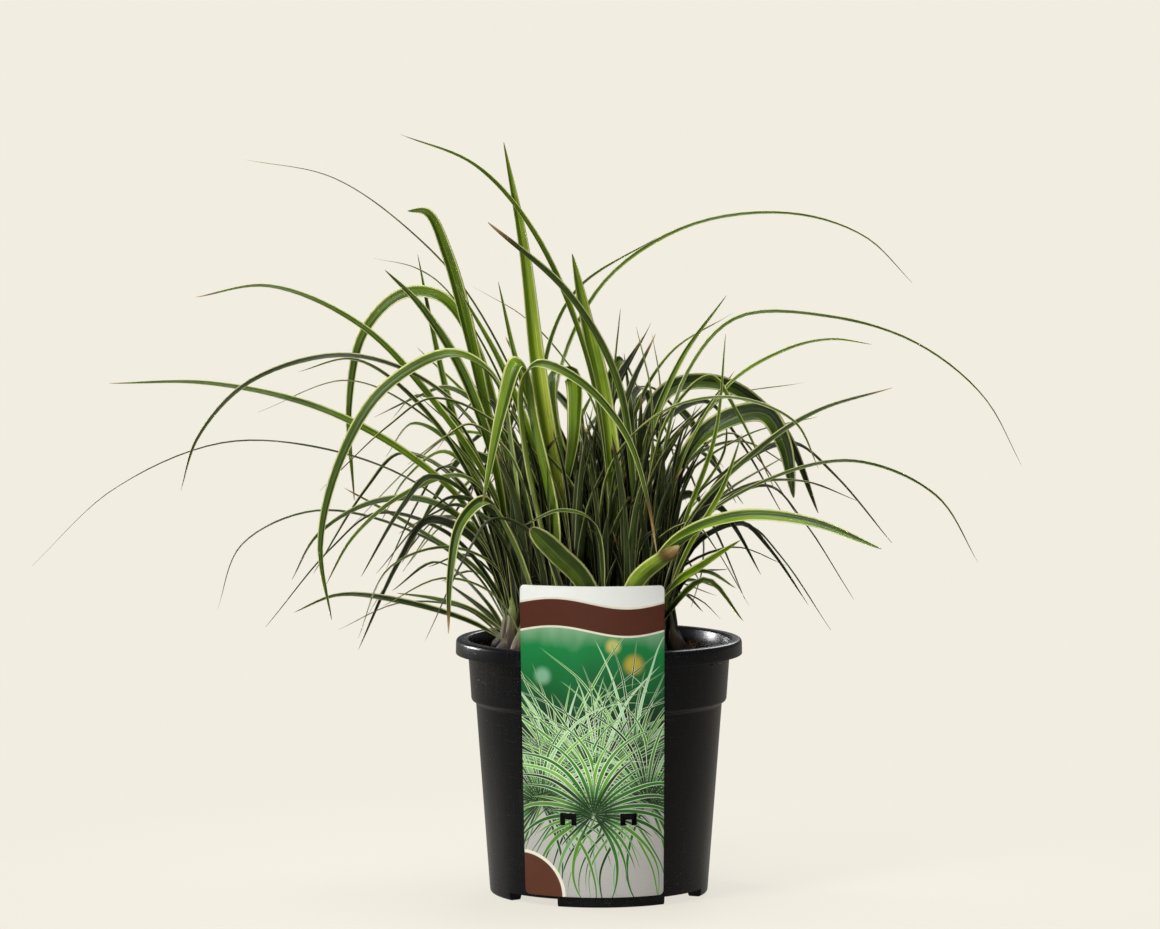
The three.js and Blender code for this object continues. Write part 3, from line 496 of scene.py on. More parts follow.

# %% [markdown]
# ## The leaves that stand out
# A plant isn't a pattern: the eye knows its long arches and folded leaves one by one. So each leaf that
# stands out is drawn as a short route of points in millimetres, like bending a wire. A row holds the
# shoot, the width, how far the face turns to the front in degrees, how blunt the tip is, how far back the
# tip lies, how light the green is, what share of the leaf is dry from its tip, and the route as places
# to the side and up.

# %% Leaves drawn one by one
LEADING_LEAVES = [
    # high leaves of the left side
    ("2_03", 3.5, 20, 1.0, 60, 0.2, 0.1, [(-35, 265), (-75, 350), (-110, 390), (-160, 425), (-215, 436)]),
    ("2_05", 10.5, 60, 2.4, 10, 0.5, 0.02, [(-60, 255), (-75, 325), (-90, 380), (-102, 405), (-114, 406)]),
    ("3_10", 8.5, 65, 1.8, -10, 0.38, 0.02, [(-60, 250), (-80, 310), (-105, 350), (-127, 372)]),
    ("2_06", 7.5, 45, 1.5, -30, 0.42, 0.06, [(-60, 235), (-95, 290), (-140, 338), (-195, 362), (-240, 355)]),
    ("3_07", 8.5, 65, 3.4, 30, 0.46, 0.02,
     [(-55, 256), (-74, 325), (-94, 354), (-118, 356), (-141, 333), (-150, 290), (-147, 230)]),
    ("3_08", 6, 75, 1.6, 30, 0.5, 0.02, [(-65, 220), (-88, 285), (-100, 335), (-109, 380)]),
    ("3_06", 3, 20, 1.0, 70, 0.3, 0.3, [(-50, 280), (-90, 355), (-110, 370), (-137, 376)]),
    ("2_07", 7, 65, 1.6, -10, 0.55, 0.02, [(-35, 250), (-55, 310), (-85, 364)]),
    ("1_04", 6, 80, 1.8, 0, 0.55, 0.02, [(-25, 250), (-47, 310), (-60, 365)]),
    ("1_02", 3, 15, 1.0, 40, 0.4, 0.2, [(0, 280), (-23, 320), (-45, 342), (-76, 360)]),
    # long arches of the left side
    ("3_09", 8, 45, 1.8, -20, 0.42, 0.03, [(-75, 225), (-110, 260), (-165, 290), (-230, 305), (-290, 305)]),
    ("3_09", 3.2, 25, 1.0, 10, 0.12, 0.1,
     [(-70, 210), (-110, 245), (-165, 265), (-225, 268), (-290, 240), (-340, 193)]),
    ("2_05", 6.5, 35, 1.8, -50, 0.3, 0.03,
     [(-60, 260), (-100, 305), (-150, 322), (-205, 307), (-235, 275), (-245, 243)]),
    ("3_10", 5.5, 35, 1.5, 10, 0.35, 0.03, [(-70, 235), (-105, 290), (-145, 318), (-180, 310)]),
    ("2_06", 4, 20, 1.1, 20, 0.3, 0.05, [(-65, 240), (-105, 285), (-150, 305), (-205, 285)]),
    ("3_11", 10, 40, 2.2, -80, 0.4, 0.02,
     [(-50, 265), (-60, 310), (-85, 325), (-125, 305), (-150, 265), (-162, 215), (-155, 170)]),
    ("3_10", 7, 45, 1.6, 20, 0.26, 0.03, [(-70, 212), (-100, 234), (-135, 233), (-168, 213), (-184, 185)]),
    ("3_09", 6, 35, 1.6, -30, 0.4, 0.03, [(-60, 225), (-80, 250), (-115, 240), (-145, 215), (-162, 185)]),
    ("3_08", 4, 25, 1.3, 30, 0.15, 0.12, [(-75, 190), (-115, 215), (-170, 226), (-215, 205), (-230, 165)]),
    # short leaves of the left side
    ("3_08", 4.5, 25, 5, 50, 0.3, 0.08, [(-70, 187), (-110, 214), (-155, 238)]),
    ("3_10", 4.5, 25, 1.6, -20, 0.3, 0.03, [(-60, 195), (-90, 208), (-125, 195), (-143, 153)]),
    ("3_09", 3.5, 20, 1.2, 40, 0.2, 0.05, [(-80, 168), (-120, 170), (-158, 152)]),
    ("3_10", 7, 40, 1.6, -20, 0.35, 0.03, [(-75, 163), (-120, 176), (-155, 179), (-182, 168)]),
    ("3_08", 6, 40, 1.6, 10, 0.35, 0.03, [(-75, 166), (-98, 173), (-122, 176)]),
    ("3_11", 4, 25, 1.4, -50, 0.3, 0.03, [(-62, 182), (-92, 192), (-127, 176)]),
    ("3_08", 5, 40, 1.6, 60, 0.4, 0.03, [(-70, 165), (-94, 180)]),
    ("3_09", 5.5, 40, 1.5, 20, 0.45, 0.03, [(-72, 245), (-92, 271), (-112, 279), (-128, 258)]),
    ("3_08", 4.5, 30, 1.5, 40, 0.4, 0.03, [(-75, 265), (-95, 290), (-110, 295), (-125, 280)]),
    ("3_09", 5, 35, 1.5, -40, 0.4, 0.03, [(-70, 240), (-92, 263), (-115, 247), (-130, 221)]),
    # leaves of the middle
    ("2_08", 14, 85, 1.5, -40, 0.72, 0.01, [(-20, 220), (-35, 310), (-44, 385), (-56, 448)]),
    ("2_10", 13, 80, 2.2, -20, 0.66, 0.01, [(12, 225), (2, 300), (-8, 345), (-16, 382)]),
    ("2_09", 7.5, 55, 1.3, -60, 0.45, 0.05, [(5, 250), (-8, 325), (-38, 395), (-72, 434), (-116, 452)]),
    ("2_11", 5, -30, 12, -80, 0.35, 0.08, [(20, 250), (10, 310), (-18, 360), (-65, 402)]),
    ("3_12", 15, 30, 2.6, -70, 0.62, 0.02,
     [(-25, 220), (-37, 285), (-42, 316), (-48, 320), (-57, 292), (-68, 237)]),
    ("1_05", 14, 15, 5, -32, 0.6, 0.02,
     [(-12, 230), (-27, 285), (-26, 310), (-17, 311), (-15, 280), (-21, 238)]),
    ("3_13", 7, 60, 1.8, -112, 0.45, 0.14,
     [(-42, 260), (-45, 310), (-36, 320), (-10, 309), (15, 280), (27, 245), (33, 211)]),
    ("3_12", 8.5, 50, 2.2, -110, 0.55, 0.08, [(-50, 215), (-65, 240), (-80, 228), (-86, 200), (-87, 165)]),
    ("3_14", 13, -50, 12, -90, 0.46, 0.01, [(-8, 190), (-24, 209), (-40, 226)]),
    ("3_14", 5, 40, 1.6, -95, 0.4, 0.02, [(-2, 225), (-22, 235), (-43, 228)]),
    ("1_00", 6, 80, 1.8, 20, 0.55, 0.08, [(8, 250), (9, 305), (13, 348)]),
    ("2_01", 10, 50, 2.0, 50, 0.45, 0.02, [(5, 250), (8, 305), (14, 316), (25, 296)]),
    ("2_00", 3, 60, 1.2, 50, 0.6, 0.03, [(35, 250), (37, 300), (32, 332)]),
    ("2_11", 5, 80, 1.6, 0, 0.6, 0.03, [(30, 240), (31, 295), (22, 338)]),
    # high leaves of the right side
    ("2_04", 5.5, 40, 1.1, 40, 0.45, 0.08,
     [(-30, 250), (-22, 315), (5, 365), (55, 397), (115, 404), (160, 390), (190, 361)]),
    ("3_07", 6, 50, 1.3, 20, 0.5, 0.04, [(-35, 270), (-30, 325), (-12, 360), (35, 390)]),
    ("2_11", 5.5, 35, 1.1, 20, 0.45, 0.06,
     [(35, 245), (52, 310), (82, 343), (140, 343), (190, 327), (230, 295), (254, 252)]),
    ("2_10", 6, 65, 1.5, 0, 0.55, 0.03, [(25, 255), (48, 315), (77, 355)]),
    ("2_00", 4, 20, 1.2, 60, 0.6, 0.03, [(18, 270), (42, 318), (82, 343)]),
    ("3_00", 5, 45, 1.2, -20, 0.55, 0.04, [(45, 245), (75, 302), (111, 325), (137, 331), (161, 328)]),
    ("3_17", 6, 75, 1.5, -40, 0.6, 0.03, [(48, 215), (68, 275), (74, 336)]),
    # arches of the right side
    ("2_09", 5, 30, 1.5, -70, 0.45, 0.03, [(5, 255), (35, 290), (75, 300), (112, 287), (126, 260)]),
    ("2_00", 11, 72, 3.5, 40, 0.25, 0.02, [(24, 250), (40, 298), (75, 302), (110, 275), (133, 222)]),
    ("3_01", 13, 72, 5, 0, 0.3, 0.02, [(42, 240), (65, 276), (98, 286), (110, 268), (116, 235)]),
    ("3_16", 7.5, 40, 1.8, -60, 0.3, 0.08, [(52, 225), (94, 269), (127, 291), (171, 305)]),
    ("3_17", 4.5, 40, 1.3, -40, 0.35, 0.1, [(52, 215), (98, 248), (150, 260), (198, 240), (223, 200)]),
    ("3_15", 10, 55, 2.6, -110, 0.54, 0.02, [(36, 210), (76, 231), (120, 230), (162, 215)]),
    ("2_00", 4, 25, 1.1, 60, 0.4, 0.05, [(32, 245), (70, 290), (125, 301)]),
    ("3_01", 4, 25, 1.1, 40, 0.35, 0.05, [(46, 238), (88, 270), (133, 281)]),
    ("3_02", 4.5, 30, 1.4, 60, 0.3, 0.05, [(50, 250), (85, 266), (121, 247)]),
    ("3_00", 5, 30, 1.2, -20, 0.25, 0.05, [(48, 212), (85, 243), (120, 247), (154, 235)]),
    # short leaves of the right side
    ("3_16", 6, 70, 1.8, -50, 0.6, 0.03, [(50, 205), (72, 245), (83, 278)]),
    ("3_01", 3, 60, 1.4, 20, 0.6, 0.05, [(50, 220), (75, 262), (76, 289)]),
    ("3_16", 10, 55, 2.4, -80, 0.6, 0.02, [(40, 185), (60, 202), (82, 218)]),
    ("3_15", 8, 55, 2.2, -70, 0.52, 0.02, [(25, 195), (48, 215), (73, 232)]),
    ("3_17", 5.5, 40, 1.8, -70, 0.45, 0.03, [(42, 188), (62, 196), (80, 187)]),
    ("3_00", 4, 25, 1.2, 20, 0.3, 0.05, [(42, 186), (80, 205), (113, 193)]),
    ("3_01", 5.5, 60, 1.8, 45, 0.45, 0.03, [(48, 200), (62, 212), (63, 190), (56, 165)]),
    ("3_17", 2.8, 20, 1.0, -30, 0.2, 0.1, [(44, 181), (60, 177), (72, 166)]),
    ("3_15", 10.5, -45, 9, -95, 0.66, 0.16, [(20, 190), (46, 216)]),
]
DEPTH_SWINGS = [0, 8, -8, 16, -16, 26, -26, 38, -38, 52, -52]


def mix(low, high, share):
    return low + (high - low) * share


def leading_leaf(row, stand):
    """A leaf from the list, with the routes it may take to stay clear of the others."""
    _, width, face, blunt, tip_depth, tone, dry, route = row
    routes = []
    for depth in DEPTH_SWINGS:
        points = []
        for i, (x, z) in enumerate(route):
            y = mix(stand["at"][1], tip_depth + depth, (i + 1) / len(route))
            points.append((x, y, z))
        routes.append(np.array(points, float))
    shape = {"stand": stand, "width": width, "face": face, "blunt": blunt, "steps": len(route) + 1}
    return {**shape, "routes": routes, "tone": tone, "dry": dry}


print("leaves drawn by hand:", len(LEADING_LEAVES))

# %% [markdown]
# ## The leaves between them
# The rest of the clump follows a rule. Each shoot fans a handful of leaves outwards: some stand up, most
# arch over, and the outer shoots also have low ones. To the front they only stand up, clear of the card.
# A small generator of fixed pseudo-random numbers draws their sizes, so that the plant is the same each
# time it is grown.

# %% Leaves grown by a rule
ANGLE_SWINGS = [0, 6, -6, 12, -12, 20, -20, 30, -30]
LIFTS = [1, 0.87, 1.1]
OPEN_FRONT = -0.35
UPRIGHT_SHARE, ARCHED_SHARE, LOW_LEAVES_FROM = 0.42, 0.85, 40
FRONT_REACH, FRONT_RISE = (10, 34), (60, 150)
UPRIGHT_REACH, UPRIGHT_RISE = (16, 60), (95, 185)
ARCH_REACH, ARCH_RISE, ARCH_FALL = (95, 190), (70, 160), (15, 85)
LOW_REACH, LOW_RISE, LOW_TIP = (50, 115), (22, 60), (0.35, 0.9)
ROOM, FAN_SWING = (0.62, 1.15), (-12, 12)
FILLER_WIDTH, FILLER_FACE, FILLER_BLUNT = (4.2, 9), (-30, 70), (1.2, 2.2)
DARKEST, LIGHTEST, LIGHTEST_FRONT_SHADED = 0.02, 0.55, 0.24
LEAST_STEPS = 3
FILLER_SEED, FILLER_SEED_STEP = 101, 37
MULTIPLIER, INCREMENT, MODULUS = 1664525, 1013904223, 2**32


def drawing(seed):
    """An endless row of fixed pseudo-random numbers from 0 to 1."""
    state = seed
    while True:
        state = (state * MULTIPLIER + INCREMENT) % MODULUS
        yield state / MODULUS


def arch_of(kind, a, b, c, towards, radius):
    """A leaf's arch, as distances out and up from its foot."""
    room = mix(*ROOM, max(0, towards))
    to_the_front = towards < OPEN_FRONT
    if to_the_front or kind < UPRIGHT_SHARE:
        reach, rise = mix(*UPRIGHT_REACH, a) + radius * 0.35, mix(*UPRIGHT_RISE, b)
        if to_the_front:
            reach, rise = mix(*FRONT_REACH, a), mix(*FRONT_RISE, b)
        return [(0.1 * reach, 0.4 * rise), (0.42 * reach, 0.77 * rise), (reach, rise)]
    if kind < ARCHED_SHARE or radius < LOW_LEAVES_FROM:
        reach, rise = mix(*ARCH_REACH, a) * room, mix(*ARCH_RISE, b) * mix(0.8, 1, room)
        crest, fall = 0.55 * reach, mix(*ARCH_FALL, c)
        down = [(0.62 * reach + 0.2 * crest, rise - 0.3 * fall), (reach, rise - fall)]
        return [(0.14 * crest, 0.45 * rise), (0.48 * crest, 0.86 * rise), (crest, rise), *down]
    reach, rise = mix(*LOW_REACH, a) * room, mix(*LOW_RISE, b)
    return [(0.2 * reach, 0.55 * rise), (0.6 * reach, rise), (reach, mix(*LOW_TIP, c) * rise)]


def arched_route(stand, angle, arch, lift=1.0):
    turn = math.radians(angle)
    out = np.array([math.cos(turn), math.sin(turn), 0])
    return np.array([stand["at"] + out * away + (0, 0, lift * up) for away, up in arch])


def filling_leaf(stand, number, draw):
    ring = stand["ring"]
    fan = number / (ring["fillers"] - 1) - 0.5
    angle = stand["angle"] + 2 * ring["spread"] * fan + mix(*FAN_SWING, next(draw))
    kind, a, b, c = [next(draw) for _ in range(4)]
    width, face = mix(*FILLER_WIDTH, next(draw)), mix(*FILLER_FACE, next(draw))
    towards = math.sin(math.radians(angle))
    arch = arch_of(kind, a, b, c, towards, ring["radius"])
    routes = [arched_route(stand, angle + swing, arch, lift) for lift in LIFTS for swing in ANGLE_SWINGS]
    shape = {"stand": stand, "width": width, "face": face, "blunt": mix(*FILLER_BLUNT, c)}
    shape["steps"] = max(LEAST_STEPS, len(arch))
    # Painted shade: the leaves to the front get a darker top tone than the others.
    lightest = LIGHTEST_FRONT_SHADED if towards < OPEN_FRONT else LIGHTEST
    tone = mix(DARKEST, lightest, (7 * a + 3 * c) % 1)
    return {**shape, "routes": routes, "tone": tone, "dry": 0.1 * b**3}


def planned_leaves():
    by_name = {stand["name"]: stand for stand in stands}
    leaves = [leading_leaf(row, by_name[row[0]]) for row in LEADING_LEAVES]
    draws = [drawing(FILLER_SEED + FILLER_SEED_STEP * i) for i in range(len(stands))]
    for number in range(max(ring["fillers"] for ring in RINGS)):
        for stand, draw in zip(stands, draws):
            if number < stand["ring"]["fillers"]:
                leaves.append(filling_leaf(stand, number, draw))
    return leaves


leaves = planned_leaves()
print("leaves planned:", len(leaves))

# %% [markdown]
# ## The curve of a leaf
# A leaf's rib is one smooth curve through its route, from a seat inside the sheath to its tip. The curve
# is a Catmull-Rom spline, which passes through its points, with centripetal spacing, so that it never
# loops back at a tight bend. The leaf's upper face looks inwards and up at the foot, as it does on a
# real shoot, and then rolls a little to the front.

# %% From a route to a rib
SEAT_LOW, SEAT_STEEP, FLAT_START = 2.3, -1.2, 0.3
LEAF_START = 4.0
ROOT_WIDTH = 2.8
WIDENS_BY = 0.25
TIP_POWER = 0.7
NEXT_TO = 0.002


def spline(points, shares):
    """Places on the centripetal Catmull-Rom curve through the points, at shares from 0 to 1."""
    first, last = 2 * points[0] - points[1], 2 * points[-1] - points[-2]
    line = np.vstack([first, points, last])
    places = []
    for share in shares:
        along = min(max(share, 0.0), 1.0) * (len(points) - 1)
        i = min(int(along), len(points) - 2)
        p0, p1, p2, p3 = line[i : i + 4]
        d0, d1, d2 = [max(np.dot(b - a, b - a) ** 0.25, 1e-4) for a, b in ((p0, p1), (p1, p2), (p2, p3))]
        t1 = ((p1 - p0) / d0 - (p2 - p0) / (d0 + d1) + (p2 - p1) / d1) * d1
        t2 = ((p2 - p1) / d1 - (p3 - p1) / (d1 + d2) + (p3 - p2) / d2) * d1
        w = along - i
        square = (-3 * p1 + 3 * p2 - 2 * t1 - t2) * w * w
        places.append(p1 + t1 * w + square + (2 * p1 - 2 * p2 + t1 + t2) * w**3)
    return np.array(places)


def unit(vectors_in_rows):
    return vectors_in_rows / np.maximum(np.linalg.norm(vectors_in_rows, axis=-1, keepdims=True), 1e-9)


def leaf_frame(leaf, route, shares):
    """Where the rib runs, and which way its side and its upper face look, at some shares of its length."""
    at = leaf["stand"]["at"]
    out = unit(np.array([*(route[-1] - at)[:2], 0.0]))
    across = np.array([out[1], -out[0], 0.0])
    first = route[0] - at
    slope = math.atan2(first[2], math.hypot(first[0], first[1])) / (math.pi / 2)
    seat = mix(SEAT_LOW, SEAT_STEEP, max(0, slope - FLAT_START) / (1 - FLAT_START))
    root = at + (0, 0, LEAF_START) + out * seat
    points = np.vstack([root, route])
    ahead = spline(points, [min(1, s + NEXT_TO) for s in shares])
    heading = unit(ahead - spline(points, [max(0, s - NEXT_TO) for s in shares]))
    level = unit(across - heading * (heading @ across)[:, None])
    upper = np.cross(level, heading)
    turn = np.radians(leaf["face"]) * np.minimum(1, 2 * np.array(shares)) * np.where(level[:, 1] > 0, -1, 1)
    facing = upper * np.cos(turn)[:, None] + level * np.sin(turn)[:, None]
    return spline(points, shares), np.cross(heading, facing), facing


def leaf_width(leaf, shares):
    shares = np.array(shares)
    start = min(ROOT_WIDTH, leaf["width"])
    opened = np.minimum(1, shares / WIDENS_BY)
    full = start + (leaf["width"] - start) * opened**2 * (3 - 2 * opened)
    return full * (1 - shares ** leaf["blunt"]) ** TIP_POWER


# %% [markdown]
# ## Fit each leaf to its solid
# In the frame a leaf may have moved a little to stay clear of its neighbours, and a few found no room.
# The frame's own corners tell which: a leaf is grown only along the route whose section corners lie on
# the solid of its shoot. A k-d tree finds the nearest corner quickly.

# %% Find the route that each leaf took
NEAR = 0.45
KEEL_SHARE, KEEL_LEAST = 0.17, 0.75
ENOUGH_ON_SOLID = 0.4


def corner_tree(name):
    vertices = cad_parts[name].data.vertices
    tree = kdtree.KDTree(len(vertices))
    for i, vertex in enumerate(vertices):
        tree.insert(vertex.co / MM, i)
    tree.balance()
    return tree


def share_on_solid(leaf, route, corners):
    """What share of the leaf's section corners lies on the solid."""
    if corners.find(Vector(route[-1]))[2] > NEAR:
        return 0.0
    shares = [i / leaf["steps"] for i in range(1, leaf["steps"])]
    place, side, facing = leaf_frame(leaf, route, shares)
    half = leaf_width(leaf, shares)[:, None] / 2
    keel = np.maximum(KEEL_LEAST, KEEL_SHARE * 2 * half)
    points = np.vstack([place - side * half, place + side * half, place - facing * keel])
    return np.mean([corners.find(Vector(p))[2] < NEAR for p in points])


def fit_leaves():
    trees = {stand["name"]: corner_tree("shoot_" + stand["name"]) for stand in stands}
    fitted = []
    for leaf in leaves:
        found = [share_on_solid(leaf, route, trees[leaf["stand"]["name"]]) for route in leaf["routes"]]
        if max(found) > ENOUGH_ON_SOLID:
            fitted.append({**leaf, "route": leaf["routes"][int(np.argmax(found))]})
    return fitted


fitted = fit_leaves()
print("leaves that found their solid:", len(fitted), "of", len(leaves))

# %% [markdown]
# ## From ribs to leaves
# All ribs of a shoot go into one mesh of points and edges, and each point carries its numbers as
# attributes. That is the whole input of the leaf tree. Longer leaves get more points, so that every
# bend is round. At its foot a leaf is rolled round the shoot, and it opens into a shallow V above.

# %% Ribs with their numbers
STEP_LENGTH, LEAST_POINTS, MOST_POINTS = 6.0, 12, 46
LAST_SHARE = 0.996
LEAST_HALF_WIDTH = 0.12
HALF_THICKNESS = 0.2 * MM
OPEN_BY = 0.16
ROLL_AT_FOOT, ROLL_ABOVE = 1.25, 0.34
FOLD_DEPTH = 0.16
DIRECTIONS = ("side", "facing")


def rib_shares(leaf):
    """Where along the leaf its points lie, closer together towards the tip."""
    points = np.vstack([leaf["stand"]["at"], leaf["route"]])
    length = np.linalg.norm(np.diff(points, axis=0), axis=1).sum()
    even = np.linspace(0, 1, int(min(max(length / STEP_LENGTH, LEAST_POINTS), MOST_POINTS)))
    return np.append(even[:-1], [0.5 * (even[-2] + 1), LAST_SHARE])


def rib_of(leaf, seed):
    """One leaf's rib: places, directions and values at its points, in metres."""
    shares = rib_shares(leaf)
    place, side, facing = leaf_frame(leaf, leaf["route"], shares)
    half = np.maximum(leaf_width(leaf, shares) / 2, LEAST_HALF_WIDTH)
    opening = np.clip(shares / OPEN_BY, 0, 1)
    rib = {"place": place * MM, "side": side, "facing": facing, "half_width": half * MM}
    rib["roll"] = mix(ROLL_AT_FOOT, ROLL_ABOVE, opening**0.6)
    rib["fold"] = FOLD_DEPTH * 2 * half * MM * opening
    rib["thickness"] = np.minimum(HALF_THICKNESS, 0.3 * half * MM)
    return {**rib, "along": shares, "tone": leaf["tone"], "dry": leaf["dry"], "seed": seed, "papery": 0.0}


def rib_mesh(ribs):
    """A mesh of loose chains, one for each rib, with the ribs' directions and values at its points."""
    mesh = bpy.data.meshes.new("ribs")
    counts = [len(rib["place"]) for rib in ribs]
    ends = np.cumsum(counts).tolist()
    edges = [(i, i + 1) for end, count in zip(ends, counts) for i in range(end - count, end - 1)]
    mesh.from_pydata(np.vstack([rib["place"] for rib in ribs]).tolist(), edges, [])
    for name in list(ribs[0])[1:]:
        kind, field, width = ("FLOAT_VECTOR", "vector", [3]) if name in DIRECTIONS else ("FLOAT", "value", [])
        rows = [np.broadcast_to(rib[name], [count, *width]) for rib, count in zip(ribs, counts)]
        kept = mesh.attributes.new(name, kind, "POINT")
        kept.data.foreach_set(field, np.concatenate(rows).ravel().astype(np.float32))
    return mesh


def grown(ribs, name):
    """A piece grown from its ribs by the leaf tree."""
    values = {"Waviness": WAVINESS, "Leaf": leaf_material, "Sheath": sheath_material}
    return made_plain(rib_mesh(ribs), LEAF_TREE, values, name)


print("points on the longest rib:", max(len(rib_shares(leaf)) for leaf in fitted))

# %% [markdown]
# ## Papery sheaths
# Four sheaths wrap the foot of each shoot, one over another and each a little taller. A sheath is a leaf
# too, only short, wide and rolled almost into a tube, so the same tree makes it.

# %% Sheath ribs
SHEATHS = 4
SHEATH_FOOT, SHEATH_HEIGHT, SHEATH_RISE = -3.0, 13.0, 6.5
SHEATH_RADIUS, SHEATH_STEP_IN, SHEATH_LEAN = 4.9, 0.55, 1.6
GOLDEN_ANGLE = 137.5
SHEATH_WRAP, SHEATH_TURNS, SHEATH_SPREAD = (2.6, 0.8), (-25, 25), (-3, 5)
SHEATH_THICKNESS = 0.22 * MM
SHEATH_SEED, SHEATH_SEED_STEP = 9001, 53
SHEATH_POINTS = 12
UP = np.array([0, 0, 1.0])


def sheath_rib(stand, i, draw):
    """The rib of one sheath, that wraps the shoot on one side and leans out a little at its top."""
    turn = math.radians(stand["angle"] + GOLDEN_ANGLE * i + mix(*SHEATH_TURNS, next(draw)))
    out = np.array([math.cos(turn), math.sin(turn), 0.0])
    height = SHEATH_HEIGHT + SHEATH_RISE * i + mix(*SHEATH_SPREAD, next(draw))
    radius = SHEATH_RADIUS - SHEATH_STEP_IN * i
    shares = np.linspace(0, 1, SHEATH_POINTS)
    lean = out * SHEATH_LEAN * shares[:, None] ** 2
    upright = UP * (SHEATH_FOOT + shares[:, None] * (height - SHEATH_FOOT))
    wrap = radius * mix(*SHEATH_WRAP, shares**1.5)
    half = np.maximum(wrap * (1 - shares**2.6) ** 0.6, 0.25) * MM
    rib = {"place": (stand["at"] + out * radius + lean + upright) * MM, "side": np.cross(UP, -out)}
    rib.update({"facing": -out, "half_width": half, "roll": half / (radius * MM), "fold": 0.0})
    rib.update({"thickness": SHEATH_THICKNESS, "along": shares * (0.55 + 0.15 * i)})
    return {**rib, "tone": next(draw), "dry": next(draw), "seed": next(draw), "papery": 1.0}


def sheath_ribs(stand, number):
    draw = drawing(SHEATH_SEED + SHEATH_SEED_STEP * number)
    return [sheath_rib(stand, i, draw) for i in range(SHEATHS)]


print("sheath ribs:", SHEATHS * len(stands))

# %% [markdown]
# ## Grow the shoots
# Each shoot's leaves and sheaths now go through the tree together, and come out as one piece. It takes
# the place of the frame's shoot. The volume of a closed mesh tells whether its faces look outwards.

# %% Grow every shoot
SHOOT_SEED, SHOOT_SEED_STEP = 701, 29


def grow_shoots():
    pieces = []
    for number, stand in enumerate(stands):
        draw = drawing(SHOOT_SEED + SHOOT_SEED_STEP * number)
        ribs = [rib_of(leaf, next(draw)) for leaf in fitted if leaf["stand"] is stand]
        piece = grown(ribs + sheath_ribs(stand, number), "sedge_shoot_" + stand["name"])
        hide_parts("shoot_" + stand["name"])
        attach(piece, "root")
        pieces.append(piece)
    return pieces


def volume_of(piece):
    """The signed volume of a closed mesh: it is negative when the faces look inwards."""
    plain = bmesh.new()
    plain.from_mesh(piece.data)
    volume = plain.calc_volume(signed=True)
    plain.free()
    return volume


def triangles_in(pieces):
    return sum(len(face.vertices) - 2 for piece in pieces for face in piece.data.polygons)


shoots = grow_shoots()
print("shoots:", len(shoots), "triangles:", triangles_in(shoots), "volume:", volume_of(shoots[0]))

# %% [markdown]
# ## Dark leaves in the heart of the clump
# Between the shoots' broad leaves stand many short, dark ones, too many for the solid model. Their very
# dark green is partly that of older leaves and partly painted shade, and it makes the heart of the clump
# look dark and deep. They grow by the same tree, as one piece, and stay inside the space of the big
# leaves. They keep no distance from each other.

# %% Grow the heart leaves
HEART_LEAVES = 160
HEART_SEED = 4211
HEART_REACH, HEART_RISE, HEART_WIDTH = (5, 42), (50, 150), (4, 8.5)
# The heart tones are partly painted shade, for the depth of the clump.
HEART_FACE, HEART_SHADED_TONE, HEART_BLUNT = (-20, 90), (-0.1, 0.16), 1.5


def heart_leaf(stand, draw):
    """A short dark leaf beside a shoot, that stands up or leans out a little. Its dark tone is partly painted
    shade.
    """
    angle = mix(0, 360, next(draw))
    away, rise = mix(*HEART_REACH, next(draw)), mix(*HEART_RISE, next(draw))
    towards = math.sin(math.radians(angle))
    away *= mix(0.35, 1, max(0, 1 + min(0, towards)))
    arch = [(0.12 * away, 0.4 * rise), (0.45 * away, 0.78 * rise), (away, rise * mix(0.8, 1, next(draw)))]
    leaf = {"stand": stand, "route": arched_route(stand, angle, arch), "blunt": HEART_BLUNT}
    leaf.update({"width": mix(*HEART_WIDTH, next(draw)), "face": mix(*HEART_FACE, next(draw))})
    return {**leaf, "dry": 0.2 * next(draw) ** 4, "tone": mix(*HEART_SHADED_TONE, next(draw))}


def grow_heart():
    draw = drawing(HEART_SEED)
    turns = [stands[i % len(stands)] for i in range(HEART_LEAVES)]
    piece = grown([rib_of(heart_leaf(stand, draw), next(draw)) for stand in turns], "heart_leaves")
    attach(piece, "root")
    return piece


heart = grow_heart()
print("heart leaves:", HEART_LEAVES, "triangles:", triangles_in([heart]))

# %% [markdown]
# ## Satin black plastic
# The pot is moulded in recycled black plastic. It isn't quite black and isn't quite even: it has faint
# flow lines from the mould, hair scratches from being stacked, and soil dust caught below the lip. The
# highlights tell all that, so most of the work goes into the roughness and the relief.

# %% Pot material
def make_pot_material():
    material, tree, shader = new_material("black pot plastic")
    place = place_of(tree)
    _, _, z = split(place)
    flow = grain(place.vector("MULTIPLY", (1.0, 1.0, 0.08)), 160.0, 4.0, 0.6)
    scratches = grain(place.vector("MULTIPLY", (1.0, 1.0, 14.0)), 70.0, 6.0, 0.7, 1.2)
    scratched = fade(scratches, 0.6, 0.72)
    dust = effect(tree, SETTLED_DUST, {"Place": place, "Scale": 28.0})
    reach = fade(z, 0.1, 0.155).maths("MAXIMUM", fade(z, 0.03, 0.0)) * 0.6 + 0.06
    dusty = dust["Dust"] * dust["Speckle"] * reach
    skin = blend(scratched * 0.22, blend(flow, "030305", "08090d"), "34363c")
    rough = flow * 0.12 + 0.2 + scratched * 0.14 + dusty * 0.4
    bumps = relief(flow * 0.8 - scratched * 0.35, 0.00014, 0.6)
    fill(shader, {"Base Color": blend(dusty, skin, "6b5a48"), "Roughness": rough, "Normal": bumps})
    fill(shader, {"Specular IOR Level": 0.26})
    return material


pot_material = make_pot_material()
print("made", pot_material.name)

